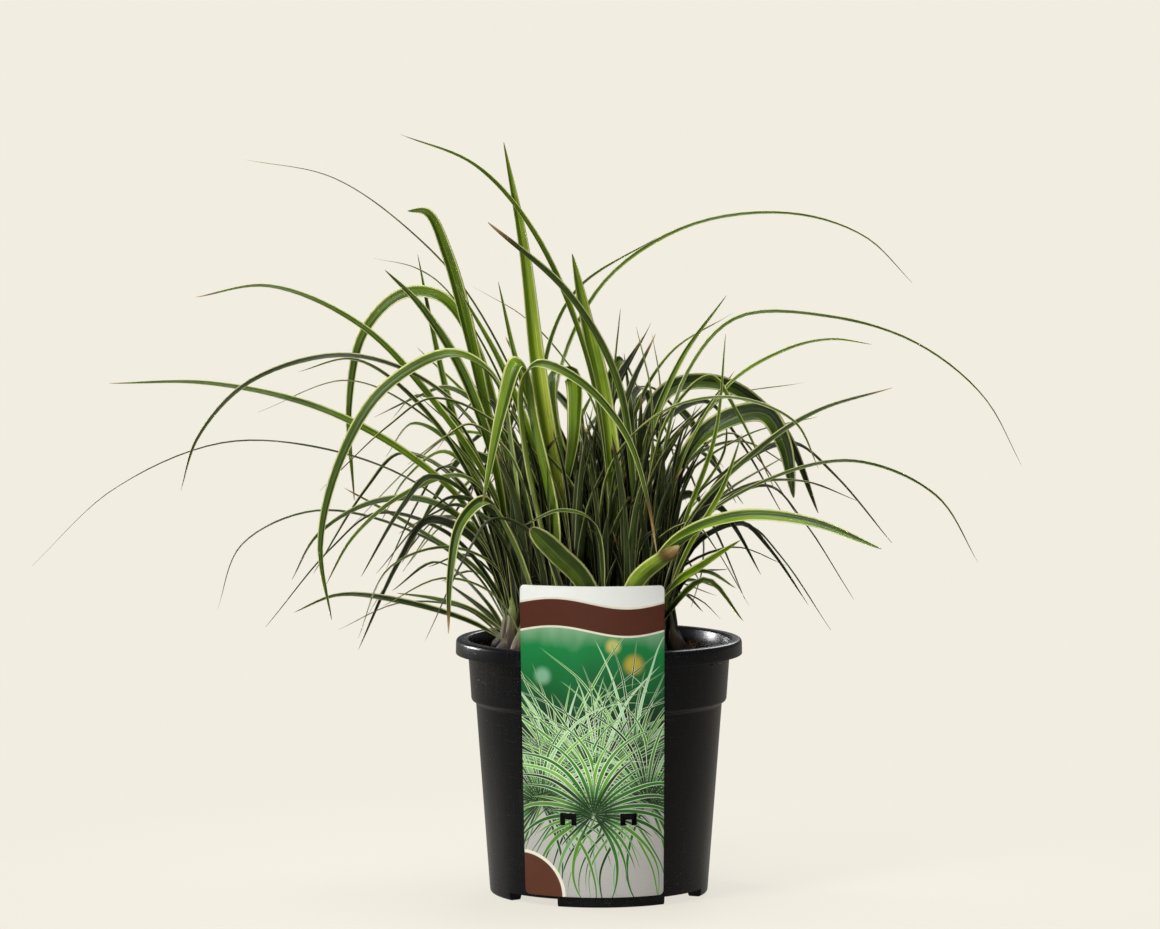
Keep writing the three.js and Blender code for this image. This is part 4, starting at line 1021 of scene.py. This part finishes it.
# %% [markdown]
# ## The pot
# The pot is round but for its drainage, so it is made as on a lathe: half of its section is drawn once,
# as an outline of radius and height, and turned round the axis. Each corner has its own small easing,
# because a moulded edge is never sharp and its highlight is what the eye sees. The notches that leave the
# feet, and the drain holes, are then cut by exact Booleans, as the mould's cores leave them.

# %% Turn and cut the pot
POT_TURNS = 160
EASE_STEPS = 5
BASE_RADIUS, BODY_RADIUS, RIM_RADIUS = 65.0, 73.4, 85.4
STEP_TOP, RIM_TOP, LIP_DROP, WALL = 117.0, 152.0, 9.0, 1.3
BASE_RECESS, POT_FLOOR = 5.0, 6.6
POT_OUTLINE = [
    (0, 0, 0), (20, 0, 0.8), (21.5, BASE_RECESS, 1), (56, BASE_RECESS, 1), (57.5, 0, 0.8),
    (BASE_RADIUS, 0, 1.6), (BODY_RADIUS, STEP_TOP - 3.2, 1.2), (BODY_RADIUS + 2.7, STEP_TOP - 1.6, 1.3),
    (COLLAR_RADIUS, RIM_TOP - 6, 2), (COLLAR_RADIUS + 1, RIM_TOP - 1.8, 0.9),
    (RIM_RADIUS - WALL, RIM_TOP - 1.6, 0.9), (RIM_RADIUS - WALL, RIM_TOP - LIP_DROP, 0.3),
    (RIM_RADIUS, RIM_TOP - LIP_DROP, 0.4), (RIM_RADIUS - 0.2, RIM_TOP, 2.4), (COLLAR_RADIUS, RIM_TOP, 1.4),
    (COLLAR_RADIUS - 1.2, RIM_TOP - 6, 2), (BODY_RADIUS + 1.5, STEP_TOP - 0.4, 1.3),
    (BODY_RADIUS - 1.2, STEP_TOP - 2.2, 1.2), (BASE_RADIUS - 0.8, POT_FLOOR, 2), (0, POT_FLOOR, 0),
]
NOTCH_ANGLES = [52, 142, 232, 322]
NOTCH_HALF_ANGLE, NOTCH_HEIGHT, NOTCH_INSIDE = 16, 4.7, 54.5
DRAIN_HOLES, DRAIN_RADIUS, DRAIN_CIRCLE = 8, 4.5, 38.0
RING_STEPS, HOLE_STEPS = 14, 28


def eased(outline):
    """Rounds each corner of an outline by its own small curve. A corner is radius, height, easing."""
    points = []
    for i, (radius, height, ease) in enumerate(outline):
        corner = np.array([radius, height], float)
        if ease == 0:
            points.append(corner)
            continue
        start = corner + unit(np.array(outline[i - 1][:2]) - corner) * ease
        end = corner + unit(np.array(outline[i + 1][:2]) - corner) * ease
        for t in np.linspace(0, 1, EASE_STEPS):
            points.append((1 - t) ** 2 * start + 2 * t * (1 - t) * corner + t * t * end)
    return points


def new_piece(name, places, faces, material=None):
    """A plain object from its corners in millimetres and its faces."""
    mesh = bpy.data.meshes.new(name)
    mesh.from_pydata((np.array(places, float) * MM).tolist(), [], faces)
    if material:
        mesh.materials.append(material)
    return put_in_scene(name, mesh)


def turned(name, outline, count):
    """Turns an outline round the Z axis. It starts and ends on the axis, and runs up the outside."""
    angles = np.arange(count) * math.tau / count
    places = [(0, 0, outline[0][1])]
    for radius, height in outline[1:-1]:
        places += [(radius * math.cos(a), radius * math.sin(a), height) for a in angles]
    places.append((0, 0, outline[-1][1]))
    rings, top = len(outline) - 2, len(places) - 1
    faces = []
    for i in range(count):
        j = (i + 1) % count
        faces.append((0, 1 + j, 1 + i))
        for ring in range(rings - 1):
            low, high = 1 + ring * count, 1 + (ring + 1) * count
            faces.append((low + i, low + j, high + j, high + i))
        faces.append((top, top - count + i, top - count + j))
    return new_piece(name, places, faces)


def prism(name, outline, low, high):
    """A solid between two heights over a flat outline that runs anticlockwise."""
    count = len(outline)
    places = [(x, y, z) for z in (low, high) for x, y in outline]
    sides = [(i, (i + 1) % count, count + (i + 1) % count, count + i) for i in range(count)]
    return new_piece(name, places, [tuple(reversed(range(count))), tuple(range(count, 2 * count)), *sides])


def ring_outline(inner, outer, middle, half):
    """The outline of a piece of a flat ring, round an angle in degrees."""
    angles = np.radians(np.linspace(middle - half, middle + half, RING_STEPS))
    out = [(outer * math.cos(a), outer * math.sin(a)) for a in angles]
    return out + [(inner * math.cos(a), inner * math.sin(a)) for a in angles[::-1]]


def circle_outline(x, y, radius, steps=HOLE_STEPS):
    return [(x + radius * math.cos(a), y + radius * math.sin(a)) for a in np.arange(steps) * math.tau / steps]


def combine(piece, others, operation):
    """Cuts other solids away from a piece, or joins them to it, and drops them."""
    for other in others:
        modifier = piece.modifiers.new(operation, "BOOLEAN")
        modifier.operation, modifier.solver, modifier.object = operation, "EXACT", other
    mesh = evaluated(piece)
    piece.modifiers.clear()
    piece.data = mesh
    for other in others:
        bpy.data.objects.remove(other)


def smooth_shaded(piece, degrees=35):
    """Shades a piece smooth but for its edges that turn more than some degrees."""
    piece.data.shade_smooth()
    piece.data.set_sharp_from_angle(angle=math.radians(degrees))


def make_pot():
    pot = turned("nursery_pot", eased(POT_OUTLINE), POT_TURNS)
    cutters = []
    for angle in NOTCH_ANGLES:
        outline = ring_outline(NOTCH_INSIDE, RIM_RADIUS, angle, NOTCH_HALF_ANGLE)
        cutters.append(prism("notch", outline, -1, NOTCH_HEIGHT))
    for i in range(DRAIN_HOLES):
        angle = (i + 0.5) * math.tau / DRAIN_HOLES
        outline = circle_outline(DRAIN_CIRCLE * math.cos(angle), DRAIN_CIRCLE * math.sin(angle), DRAIN_RADIUS)
        cutters.append(prism("drain", outline, BASE_RECESS - 2, POT_FLOOR + 1))
    combine(pot, cutters, "DIFFERENCE")
    pot.data.materials.clear()
    pot.data.materials.append(pot_material)
    smooth_shaded(pot)
    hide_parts("pot")
    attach(pot, "root")
    return pot


pot = make_pot()
print("pot triangles:", triangles_in([pot]), "volume in cm3:", round(volume_of(pot) * 1e6, 1))

# %% [markdown]
# ## Potting soil
# Potting soil is peat and bark: dark crumbs of every size, with pale fibres among them. Three things make
# it up here. A dome with an uneven top gives the body. Crumbs are scattered over it by Geometry Nodes, each
# turned and sized by a random value and then dented by noise, so no two are alike. Fibres are scattered
# the same way, as thin tubes bent by the noise. Each crumb keeps a tint of its own for the material.

# %% Soil material
def make_soil_material():
    material, tree, shader = new_material("potting soil")
    place = place_of(tree)
    tint, fibre = attributes(tree, "tint", "fibre")
    fine = grain(place, 900.0, 4.0, 0.7)
    shade = fine * 0.4 + tint * 0.6 + swing(grain(place, 60.0, 3.0), 0.4)
    crumb = ramp(shade, {0: "0d0907", 0.4: "22160f", 0.65: "3a261a", 0.9: "5c402c", 1: "86664a"})
    thread = ramp(tint, {0: "3a2618", 0.5: "6d4c31", 1: "a88861"})
    rough, bumps = between(fine, 0.75, 1.0), relief(fine, 0.0005, 0.9)
    fill(shader, {"Base Color": blend(fibre, crumb, thread), "Roughness": rough, "Normal": bumps})
    fill(shader, {"Specular IOR Level": 0.25})
    return material


soil_material = make_soil_material()
print("made", soil_material.name)

# %% [markdown]
# ## A tree that scatters crumbs and fibres
# Points are spread over the faces that look up, and a shape is put on each: a small ball for a crumb, a
# thin tube for a fibre. The copies are made real before the noise dents them, so that each takes its own
# form. Sizes are in metres and turns in radians. Density is a count for each square metre.

# %% Geometry Nodes: scatter crumbs and fibres
LARGE_SHARE = 0.09
SMALL_CRUMBS = {"seed": 11, "least": (0.0005, 0.0005, 0.0004), "most": (0.0017, 0.0015, 0.0011)}
LARGE_CRUMBS = {"seed": 23, "least": (0.0012, 0.001, 0.0008), "most": (0.0042, 0.003, 0.002)}
THREADS = {"seed": 37, "least": (0.00009, 0.00009, 0.004), "most": (0.0003, 0.0003, 0.015)}


def random_value(tree, low, high, seed):
    """A random number, or a random vector, for each copy."""
    kind, first, output = ("FLOAT_VECTOR", 0, 0) if isinstance(low, tuple) else ("FLOAT", 2, 1)
    inputs = {first: low, first + 1: high, 8: seed}
    return add(tree, "FunctionNodeRandomValue", inputs, output, data_type=kind)


def scattered(ground, upwards, shape, density, turns, seed, least, most):
    """Puts copies of a shape on the ground, with random turns, sizes and tints, and makes them real."""
    points = ground.into("DistributePointsOnFaces", Selection=upwards, Density=density, Seed=seed)
    turn = random_value(ground.tree, (0, 0, 0), turns, seed + 1)
    size = random_value(ground.tree, least, most, seed + 2)
    copies = points.into("InstanceOnPoints", Instance=shape, Rotation=turn, Scale=size)
    tint = random_value(ground.tree, 0.0, 1.0, seed + 3)
    return keep(copies, "tint", tint, "INSTANCE").into("RealizeInstances")


def dented(geometry, scale, depth):
    """Moves each point by noise, as far as depth."""
    inputs = {"Vector": add(geometry.tree, "GeometryNodeInputPosition"), "Scale": scale, "Detail": 1.0}
    noisy = add(geometry.tree, "ShaderNodeTexNoise", inputs, 1)
    shift = noisy.vector("SUBTRACT", (0.5, 0.5, 0.5)).scaled(depth)
    return geometry.into("SetPosition", Offset=shift)


def join(*parts):
    node = parts[0].tree.nodes.new("GeometryNodeJoinGeometry")
    for part in parts:
        fill(node, [part])
    return Value(node.outputs[0])


def soil_tree():
    inputs = {"Ground": "Geometry", "Crumbs": "Float", "Fibres": "Float", "Soil": "Material"}
    tree, given, last = new_group("GeometryNodeTree", "Crumbs and fibres", inputs, {"Soil": "Geometry"})
    ground = given["Ground"]
    _, _, rise = split(add(tree, "GeometryNodeInputNormal"))
    upwards = rise.maths("GREATER_THAN", 0.6)
    ball = add(tree, "GeometryNodeMeshIcoSphere", {"Radius": 1.0, "Subdivisions": 1})
    tube = {"Vertices": 3, "Side Segments": 6, "Radius": 1.0, "Depth": 1.0}
    thread = add(tree, "GeometryNodeMeshCylinder", tube)
    few = given["Crumbs"] * LARGE_SHARE
    small = scattered(ground, upwards, ball, given["Crumbs"], (6.3, 6.3, 6.3), **SMALL_CRUMBS)
    large = scattered(ground, upwards, ball, few, (6.3, 0.8, 6.3), **LARGE_CRUMBS)
    threads = scattered(ground, upwards, thread, given["Fibres"], (1.9, 1.9, 6.3), **THREADS)
    crumbs = dented(join(small, large), 420.0, 0.0022)
    threads = keep(dented(threads, 90.0, 0.009), "fibre", 1.0)
    fill(last, [join(ground, crumbs, threads).into("SetMaterial", Material=given["Soil"])])
    return tree


SOIL_TREE = soil_tree()
print("soil tree:", len(SOIL_TREE.nodes), "nodes")

# %% [markdown]
# ## Grow the soil
# The ground is turned like the pot. Its top gets many rings of points, which two sizes of noise then lift
# and lower. Only after that does the tree scatter its crumbs and fibres, so they follow the lumps.

# %% Make the soil
SOIL_TURNS, SOIL_RINGS = 96, 40
SOIL_EDGE = COLLAR_RADIUS - 2.6
SOIL_BODY = [
    (0, POT_FLOOR + 0.4), (BASE_RADIUS - 1.7, POT_FLOOR + 0.4),
    (BODY_RADIUS - 2.3, STEP_TOP - 3), (BODY_RADIUS + 0.7, STEP_TOP + 2),
]
SOIL_LUMP = 1.3
CRUMBS_IN_M2 = 300000.0
FIBRES_IN_M2 = 42000.0


def soil_top(x, y):
    """The uneven height of the soil: the frame's mound with lumps of two sizes."""
    wide = noise.noise(Vector((x, y, 0)) * 0.05)
    close = noise.noise(Vector((x, y, 30)) * 0.2)
    return soil_height(x, y) + SOIL_LUMP * (wide + 0.6 * close)


def make_soil():
    rings = [(SOIL_EDGE * math.sqrt(1 - i / SOIL_RINGS), SOIL_EDGE_Z) for i in range(SOIL_RINGS)]
    ground = turned("ground", SOIL_BODY + rings + [(0, SOIL_EDGE_Z)], SOIL_TURNS)
    for vertex in ground.data.vertices:
        x, y, z = vertex.co / MM
        if z > SOIL_EDGE_Z - 1:
            vertex.co.z = soil_top(x, y) * MM
    values = {"Crumbs": CRUMBS_IN_M2, "Fibres": FIBRES_IN_M2, "Soil": soil_material}
    soil = made_plain(ground.data.copy(), SOIL_TREE, values, "potting_soil")
    bpy.data.objects.remove(ground)
    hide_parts("soil")
    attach(soil, "root")
    return soil


soil = make_soil()
print("soil triangles:", triangles_in([soil]))

# %% [markdown]
# ## The picture on the plant card
# A nursery card is a strip of printed plastic. Its picture is made here of plain parts: a blurred green
# garden, grey ground, a brown band between cream lines, soft spots of light, and tufts of long arching
# blades. A tuft is one group: it turns the card into polar coordinates round the tuft's foot, so that a
# blade is a narrow wedge of angle with a length of its own. Bending the angle with the distance makes the
# blades arch. Six tufts with different feet and bends make a dense planting.

# %% Group: a tuft of blades
TUFT_INPUTS = ("Foot X", "Foot Y", "Blades", "Bend", "Length", "Half width", "Seed")


def number_at(index, seed):
    """A random value for a whole number."""
    return add(index.tree, "ShaderNodeTexWhiteNoise", [joined(index, seed, 0.0)], noise_dimensions="3D")


def printed_tuft():
    """Blades round a foot, all in millimetres on the card: how much of a blade shows, its rim, its tone."""
    tree, given, last = effect_group("Printed tuft", ("Place",), TUFT_INPUTS, ("Blade", "Rim", "Tone"))
    x, y, _ = split(given["Place"])
    x, y = x - given["Foot X"], y - given["Foot Y"]
    far, angle = distance(x, y), x.maths("ARCTAN2", y)
    reach = far / given["Length"]
    unbent = angle - reach * reach * given["Bend"] * angle.maths("SIGN")
    lane = (unbent + swing(grain(given["Place"], 0.02, 1.0), 0.14)) * given["Blades"]
    index = lane.maths("FLOOR")
    length = given["Length"] * (number_at(index, given["Seed"]) * 0.75 + 0.35)
    taper = (1.0 - (far / length).maths("POWER", 2.0)).maths("MAXIMUM", 0.0)
    half = given["Half width"] * taper * fade(far, -4.0, 24.0)
    middle = number_at(index, given["Seed"] + 3.0) * 0.5 + 0.25
    off = abs(lane - index - middle) * far / given["Blades"]
    ahead = abs(index + 0.5).maths("LESS_THAN", given["Blades"] * 2.75)
    blade = fade(off - half, 0.12, -0.12) * ahead * fade(half, 0.04, 0.2)
    parted = fade(far, 6.0, 20.0)
    rim = fade(off - half * 0.66, -0.1, 0.16) * parted
    fill(last, {"Blade": blade, "Rim": rim, "Tone": number_at(index, given["Seed"] + 7.0) * parted})
    return tree


PRINTED_TUFT = printed_tuft()
print("tuft group:", len(PRINTED_TUFT.nodes), "nodes")

# %% [markdown]
# ## The card's print
# The parts of the picture are laid one over another, from the back to the front. All places on it are in
# millimetres from the card's lower left corner, so a blade keeps its width whatever the card's shape. The
# coordinates come from the flat card, and bend with it. The back of the card stays plain.

# %% Card material
CARD_WIDTH, CARD_BOTTOM, CARD_TOP = 87.0, 6.6, 192.0
CARD_HEIGHT = CARD_TOP - CARD_BOTTOM
TUFTS = [
    (24.0, 78.0, 8.0, 0.22, 102.0, 1.15, 3.0),
    (67.0, 82.0, 8.5, 0.2, 94.0, 1.1, 14.0),
    (45.0, 70.0, 8.0, 0.35, 100.0, 1.2, 29.0),
    (76.0, 58.0, 6.5, 0.6, 84.0, 1.35, 41.0),
    (12.0, 56.0, 7.0, 0.6, 84.0, 1.3, 58.0),
    (44.0, 50.0, 6.0, 0.9, 80.0, 1.7, 77.0),
]
SOFT_SPOTS = [((68, 139, 0), 8, "d8b53c"), ((56, 150, 0), 6, "e3cf74"), ((14, 132, 0), 7, "8fc0a0")]
BANDS = [(158.0, 176.0, "e9e4cf"), (159.2, 174.8, "52291a")]
CORNER_RINGS = [(27.2, 26.9, "ece7d4"), (25.2, 24.9, "5a3324")]


def garden_ground(spot, up):
    """The blurred garden behind the tufts: grey ground below, green behind, pale light above."""
    cloud = grain(spot.vector("MULTIPLY", (1.0, 0.6, 1.0)), 0.045, 2.0, 0.5, 0.6)
    level = (up + swing(cloud, 18.0)) / CARD_HEIGHT
    green = ramp(level, {0: "b2b0ab", 0.26: "b9b7b1", 0.31: "0a1c06", 0.58: "0c3014", 0.8: "168040",
                         0.92: "a9c9a9", 1: "d6e0d0"})
    pebbles = fade(up, 52.0, 34.0) * fade(grain(spot, 1.3, 4.0, 0.7), 0.45, 0.7)
    return blend(pebbles * 0.5, green, "cdc8c0")


def with_tuft(tree, picture, spot, up, tuft):
    """The picture with one tuft drawn over it, darker towards its foot."""
    drawn = effect(tree, PRINTED_TUFT, {"Place": spot, **dict(zip(TUFT_INPUTS, tuft))})
    leaf = ramp(drawn["Tone"], {0: "123808", 0.45: "348420", 0.8: "7cc040", 1: "b4e0b4"})
    leaf = blend(drawn["Rim"], leaf, "f2fbe4")
    foot = tuft[1]
    leaf = blend(fade(up, foot + 34.0, foot) * 0.45, leaf, "12300e")
    return blend(drawn["Blade"], picture, leaf)


def with_plain_shapes(picture, spot, across, up):
    """The picture with its waving brown band, its pale top and its round brown corner."""
    level = up - (across * 0.072).maths("SINE") * 3.0
    for low, high, code in BANDS:
        inside = fade(level, low - 0.15, low + 0.15) * fade(level, high + 0.15, high - 0.15)
        picture = blend(inside, picture, code)
    picture = blend(fade(level, 175.8, 176.2), picture, "f2f4ee")
    corner = spot.vector("LENGTH", output=1)
    for outside, inside, code in CORNER_RINGS:
        picture = blend(fade(corner, outside, inside), picture, code)
    return picture


def make_card_material():
    material, tree, shader = new_material("printed plant card")
    flat = add(tree, "ShaderNodeUVMap", uv_map="UVMap")
    spot = flat.vector("MULTIPLY", (CARD_WIDTH, CARD_HEIGHT, 0.0))
    across, up, _ = split(spot)
    picture = garden_ground(spot, up)
    for place, radius, code in SOFT_SPOTS:
        far = spot.vector("DISTANCE", place, output=1)
        picture = blend(fade(far, radius, radius * 0.3) * 0.75, picture, code)
    for tuft in TUFTS:
        picture = with_tuft(tree, picture, spot, up, tuft)
    picture = with_plain_shapes(picture, spot, across, up)
    skin = blend(attributes(tree, "front")[0], "e6e4dc", picture)
    worn = effect(tree, SETTLED_DUST, {"Place": place_of(tree), "Scale": 34.0})
    rough, ink = between(worn["Dust"], 0.3, 0.42), relief(grain(spot, 6.0, 3.0), 0.00003, 0.5)
    fill(shader, {"Base Color": skin, "Roughness": rough, "Normal": ink})
    fill(shader, {"Specular IOR Level": 0.25, "Coat Weight": 0.1, "Coat Roughness": 0.2})
    return material


card_material = make_card_material()
print("made", card_material.name)

# %% [markdown]
# ## The plant card
# The card is cut from flat sheet and only then wrapped round the pot, so it is made the same way. A flat
# grid gets its rounded corners, then a solid's thickness, and two hooked slots are cut through it. Its
# picture coordinates are taken while it is flat. Last, every point is bent round the pot's cone. A tongue
# behind it hooks over the lip and holds it up.

# %% Cut and wrap the card
CARD_THICK, CARD_FOOT_RADIUS, CARD_CORNER, CARD_TURN = 0.7, 66.6, 3.0, -93.0
TONGUE_HALF_ANGLE, TONGUE_THICK, TONGUE_DEPTH, TONGUE_INSET = 9.0, 0.7, 9.0, 3.2
CARD_GAP = 0.35
SLOT_PLACES = [(24.0, 43.0), (59.5, 43.0)]
SLOT_WIDTH, SLOT_HEIGHT, SLOT_ARM = 10.0, 7.5, 3.2
CARD_COLUMNS, CARD_ROWS, CORNER_STEPS = 58, 110, 8
SLOT_BAR = 4.0


def card_radius(z):
    """The cone that the card lies on: clear of the pot's foot and of the lip's outer edge."""
    slope = (RIM_RADIUS + CARD_GAP - CARD_FOOT_RADIUS) / (RIM_TOP - LIP_DROP - CARD_BOTTOM)
    return CARD_FOOT_RADIUS + slope * (z - CARD_BOTTOM)


def quads(first, second):
    """The faces between two rows of corners."""
    return list(zip(first, second, second[1:], first[1:]))


def flat_card():
    """The card as flat sheet: across is X, up is Z and its front is at Y 0."""
    bow = CARD_CORNER * (1 - np.cos(np.linspace(0, math.pi / 2, CORNER_STEPS)))
    middle = np.linspace(CARD_CORNER, CARD_WIDTH - CARD_CORNER, CARD_COLUMNS)
    columns = np.unique(np.concatenate([bow, middle, CARD_WIDTH - bow]).round(4))
    places = []
    for depth in (0, CARD_THICK):
        for u in columns:
            side = min(u, CARD_WIDTH - u, CARD_CORNER)
            cut = CARD_CORNER - math.sqrt(CARD_CORNER**2 - (CARD_CORNER - side) ** 2)
            places += [(u, depth, z) for z in np.linspace(CARD_BOTTOM + cut, CARD_TOP - cut, CARD_ROWS)]
    front, back = np.arange(len(places)).reshape(2, len(columns), CARD_ROWS).tolist()
    faces = quads(back[0], front[0]) + quads(front[-1], back[-1])
    for c in range(len(columns) - 1):
        faces += quads(front[c], front[c + 1]) + quads(back[c + 1], back[c])
    faces += quads([column[0] for column in front], [column[0] for column in back])
    faces += quads([column[-1] for column in back], [column[-1] for column in front])
    return new_piece("plant_card", places, faces, card_material)


def slot_cutter(x, z):
    """A hooked slot, open below: a bar on top with an arm at each end."""
    outline = [
        (0, 0), (SLOT_ARM, 0), (SLOT_ARM, SLOT_HEIGHT - SLOT_BAR),
        (SLOT_WIDTH - SLOT_ARM, SLOT_HEIGHT - SLOT_BAR), (SLOT_WIDTH - SLOT_ARM, 0),
        (SLOT_WIDTH, 0), (SLOT_WIDTH, SLOT_HEIGHT), (0, SLOT_HEIGHT),
    ]
    cutter = prism("slot", [(x + u, -(z + v)) for u, v in outline][::-1], -1, CARD_THICK + 1)
    cutter.rotation_euler = (-math.pi / 2, 0, 0)
    return cutter


def wrap_card(card):
    """Takes the picture's coordinates from the flat card, then bends it round the pot."""
    mesh = card.data
    flat = np.empty(len(mesh.vertices) * 3, np.float32)
    mesh.vertices.foreach_get("co", flat)
    across, depth, up = (flat.reshape(-1, 3) / MM).T
    layer = mesh.uv_layers.new(name="UVMap")
    corners = np.empty(len(mesh.loops), np.int32)
    mesh.loops.foreach_get("vertex_index", corners)
    picture = np.stack([across / CARD_WIDTH, (up - CARD_BOTTOM) / CARD_HEIGHT], axis=1)
    layer.data.foreach_set("uv", picture[corners].ravel().astype(np.float32))
    front = mesh.attributes.new("front", "FLOAT", "FACE")
    for face in mesh.polygons:
        front.data[face.index].value = float(max(depth[v] for v in face.vertices) < 0.01)
    radius = card_radius(up) + CARD_THICK - depth
    angle = math.radians(CARD_TURN) + (across - CARD_WIDTH / 2) / radius
    bent = np.stack([radius * np.cos(angle), radius * np.sin(angle), up], axis=1) * MM
    mesh.vertices.foreach_set("co", bent.ravel().astype(np.float32))
    mesh.update()


def card_tongue():
    """The tongue that hooks over the lip: a bridge from the card and a hook down inside the rim."""
    over = RIM_TOP + CARD_GAP + 0.1
    inside = COLLAR_RADIUS - TONGUE_INSET
    outline = ring_outline(inside, card_radius(over) + 0.4, CARD_TURN, TONGUE_HALF_ANGLE)
    bridge = prism("tongue", outline, over, over + TONGUE_THICK)
    outline = ring_outline(inside, inside + TONGUE_THICK, CARD_TURN, TONGUE_HALF_ANGLE)
    hook = prism("hook", outline, RIM_TOP - TONGUE_DEPTH, over + 0.4)
    combine(bridge, [hook], "UNION")
    return bridge


def make_card():
    card = flat_card()
    combine(card, [slot_cutter(x, CARD_BOTTOM + z) for x, z in SLOT_PLACES], "DIFFERENCE")
    wrap_card(card)
    tongue = card_tongue()
    tongue.data.attributes.new("front", "FLOAT", "FACE")
    tongue.data.uv_layers.new(name="UVMap")
    tongue.data.materials.clear()
    tongue.data.materials.append(card_material)
    joined_mesh = bmesh.new()
    for part in (card, tongue):
        joined_mesh.from_mesh(part.data)
    joined_mesh.to_mesh(card.data)
    joined_mesh.free()
    bpy.data.objects.remove(tongue)
    smooth_shaded(card, 40)
    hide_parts("label")
    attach(card, "root")
    return card


card = make_card()
print("card triangles:", triangles_in([card]), "volume in cm3:", round(volume_of(card) * 1e6, 2))

# %% [markdown]
# ## Light and floor
# A pale floor and big soft lights, as in a studio. The key light comes from the left and above, and a
# lamp behind draws a bright edge down the left of the pot. A faint, narrow lamp lifts the card, which
# leans away from the others. The far floor fades into the same cream as the world behind it, so no edge
# shows.

# %% Studio
CREAM, FLOOR_LIT, SKY = "f2ede1", "d7d3c7", "f1f3f7"
GLOW_NEAR, GLOW_UNSEEN, SKY_STRENGTH = 0.8, 0.3, 0.17
FLOOR_RADIUS, FLOOR_SIDES = 300, 96
HIGH, LOW = (0, 0, 0.25), (0, 0, 0.08)
LIGHTS = [
    ("key", (-1.5, -1.7, 2.4), 0.8, 68, HIGH, 180),
    ("front", (-0.5, -2.9, 0.3), 0.7, 15, LOW, 180),
    ("card", (-0.3, -2.9, 0.25), 0.4, 0.13, (0, 0, 0.06), 10),
    ("left edge", (-1.5, 0.95, 0.45), 0.4, 22, LOW, 180),
    ("top", (0.1, 0.3, 2.6), 1.2, 44, HIGH, 180),
    ("back", (0.6, 2.2, 1.5), 1.2, 20, HIGH, 180),
]


def seen_by_camera(tree):
    return add(tree, "ShaderNodeLightPath", output="Is Camera Ray")


def make_floor():
    material, tree, shader = new_material("pale floor")
    fill(shader, {"Base Color": colour(FLOOR_LIT), "Roughness": 0.6})
    strength = between(seen_by_camera(tree), GLOW_UNSEEN, 1.0)
    glow = add(tree, "ShaderNodeEmission", {"Color": colour(CREAM), "Strength": strength})
    far = between(fade(place_of(tree).vector("LENGTH", output=1), 0.1, 0.5), GLOW_NEAR, 1.0)
    mixed = add(tree, "ShaderNodeMixShader", [far, Value(shader.outputs[0]), glow])
    fill(tree.nodes["Material Output"], [mixed])
    rim = circle_outline(0, 0, FLOOR_RADIUS / MM, FLOOR_SIDES)
    floor = new_piece("floor", [(x, y, 0) for x, y in rim], [tuple(range(FLOOR_SIDES))], material)


def soft_light(name, place, size, power, aim, spread):
    lamp = bpy.data.lights.new(name, "AREA")
    lamp.shape, lamp.size, lamp.energy, lamp.spread = "DISK", size, power, math.radians(spread)
    light = put_in_scene(name, lamp)
    light.location = place
    light.rotation_euler = (Vector(place) - Vector(aim)).to_track_quat("Z", "Y").to_euler()


def light_world():
    world = bpy.data.worlds.new("studio")
    bpy.context.scene.world = world
    world.use_nodes = True
    seen = seen_by_camera(world.node_tree)
    sky = {"Color": blend(seen, SKY, CREAM), "Strength": between(seen, SKY_STRENGTH, 1.0)}
    fill(world.node_tree.nodes["Background"], sky)


make_floor()
light_world()
for light in LIGHTS:
    soft_light(*light)
bpy.context.scene.view_settings.view_transform = "Standard"
print("lights:", len(LIGHTS))
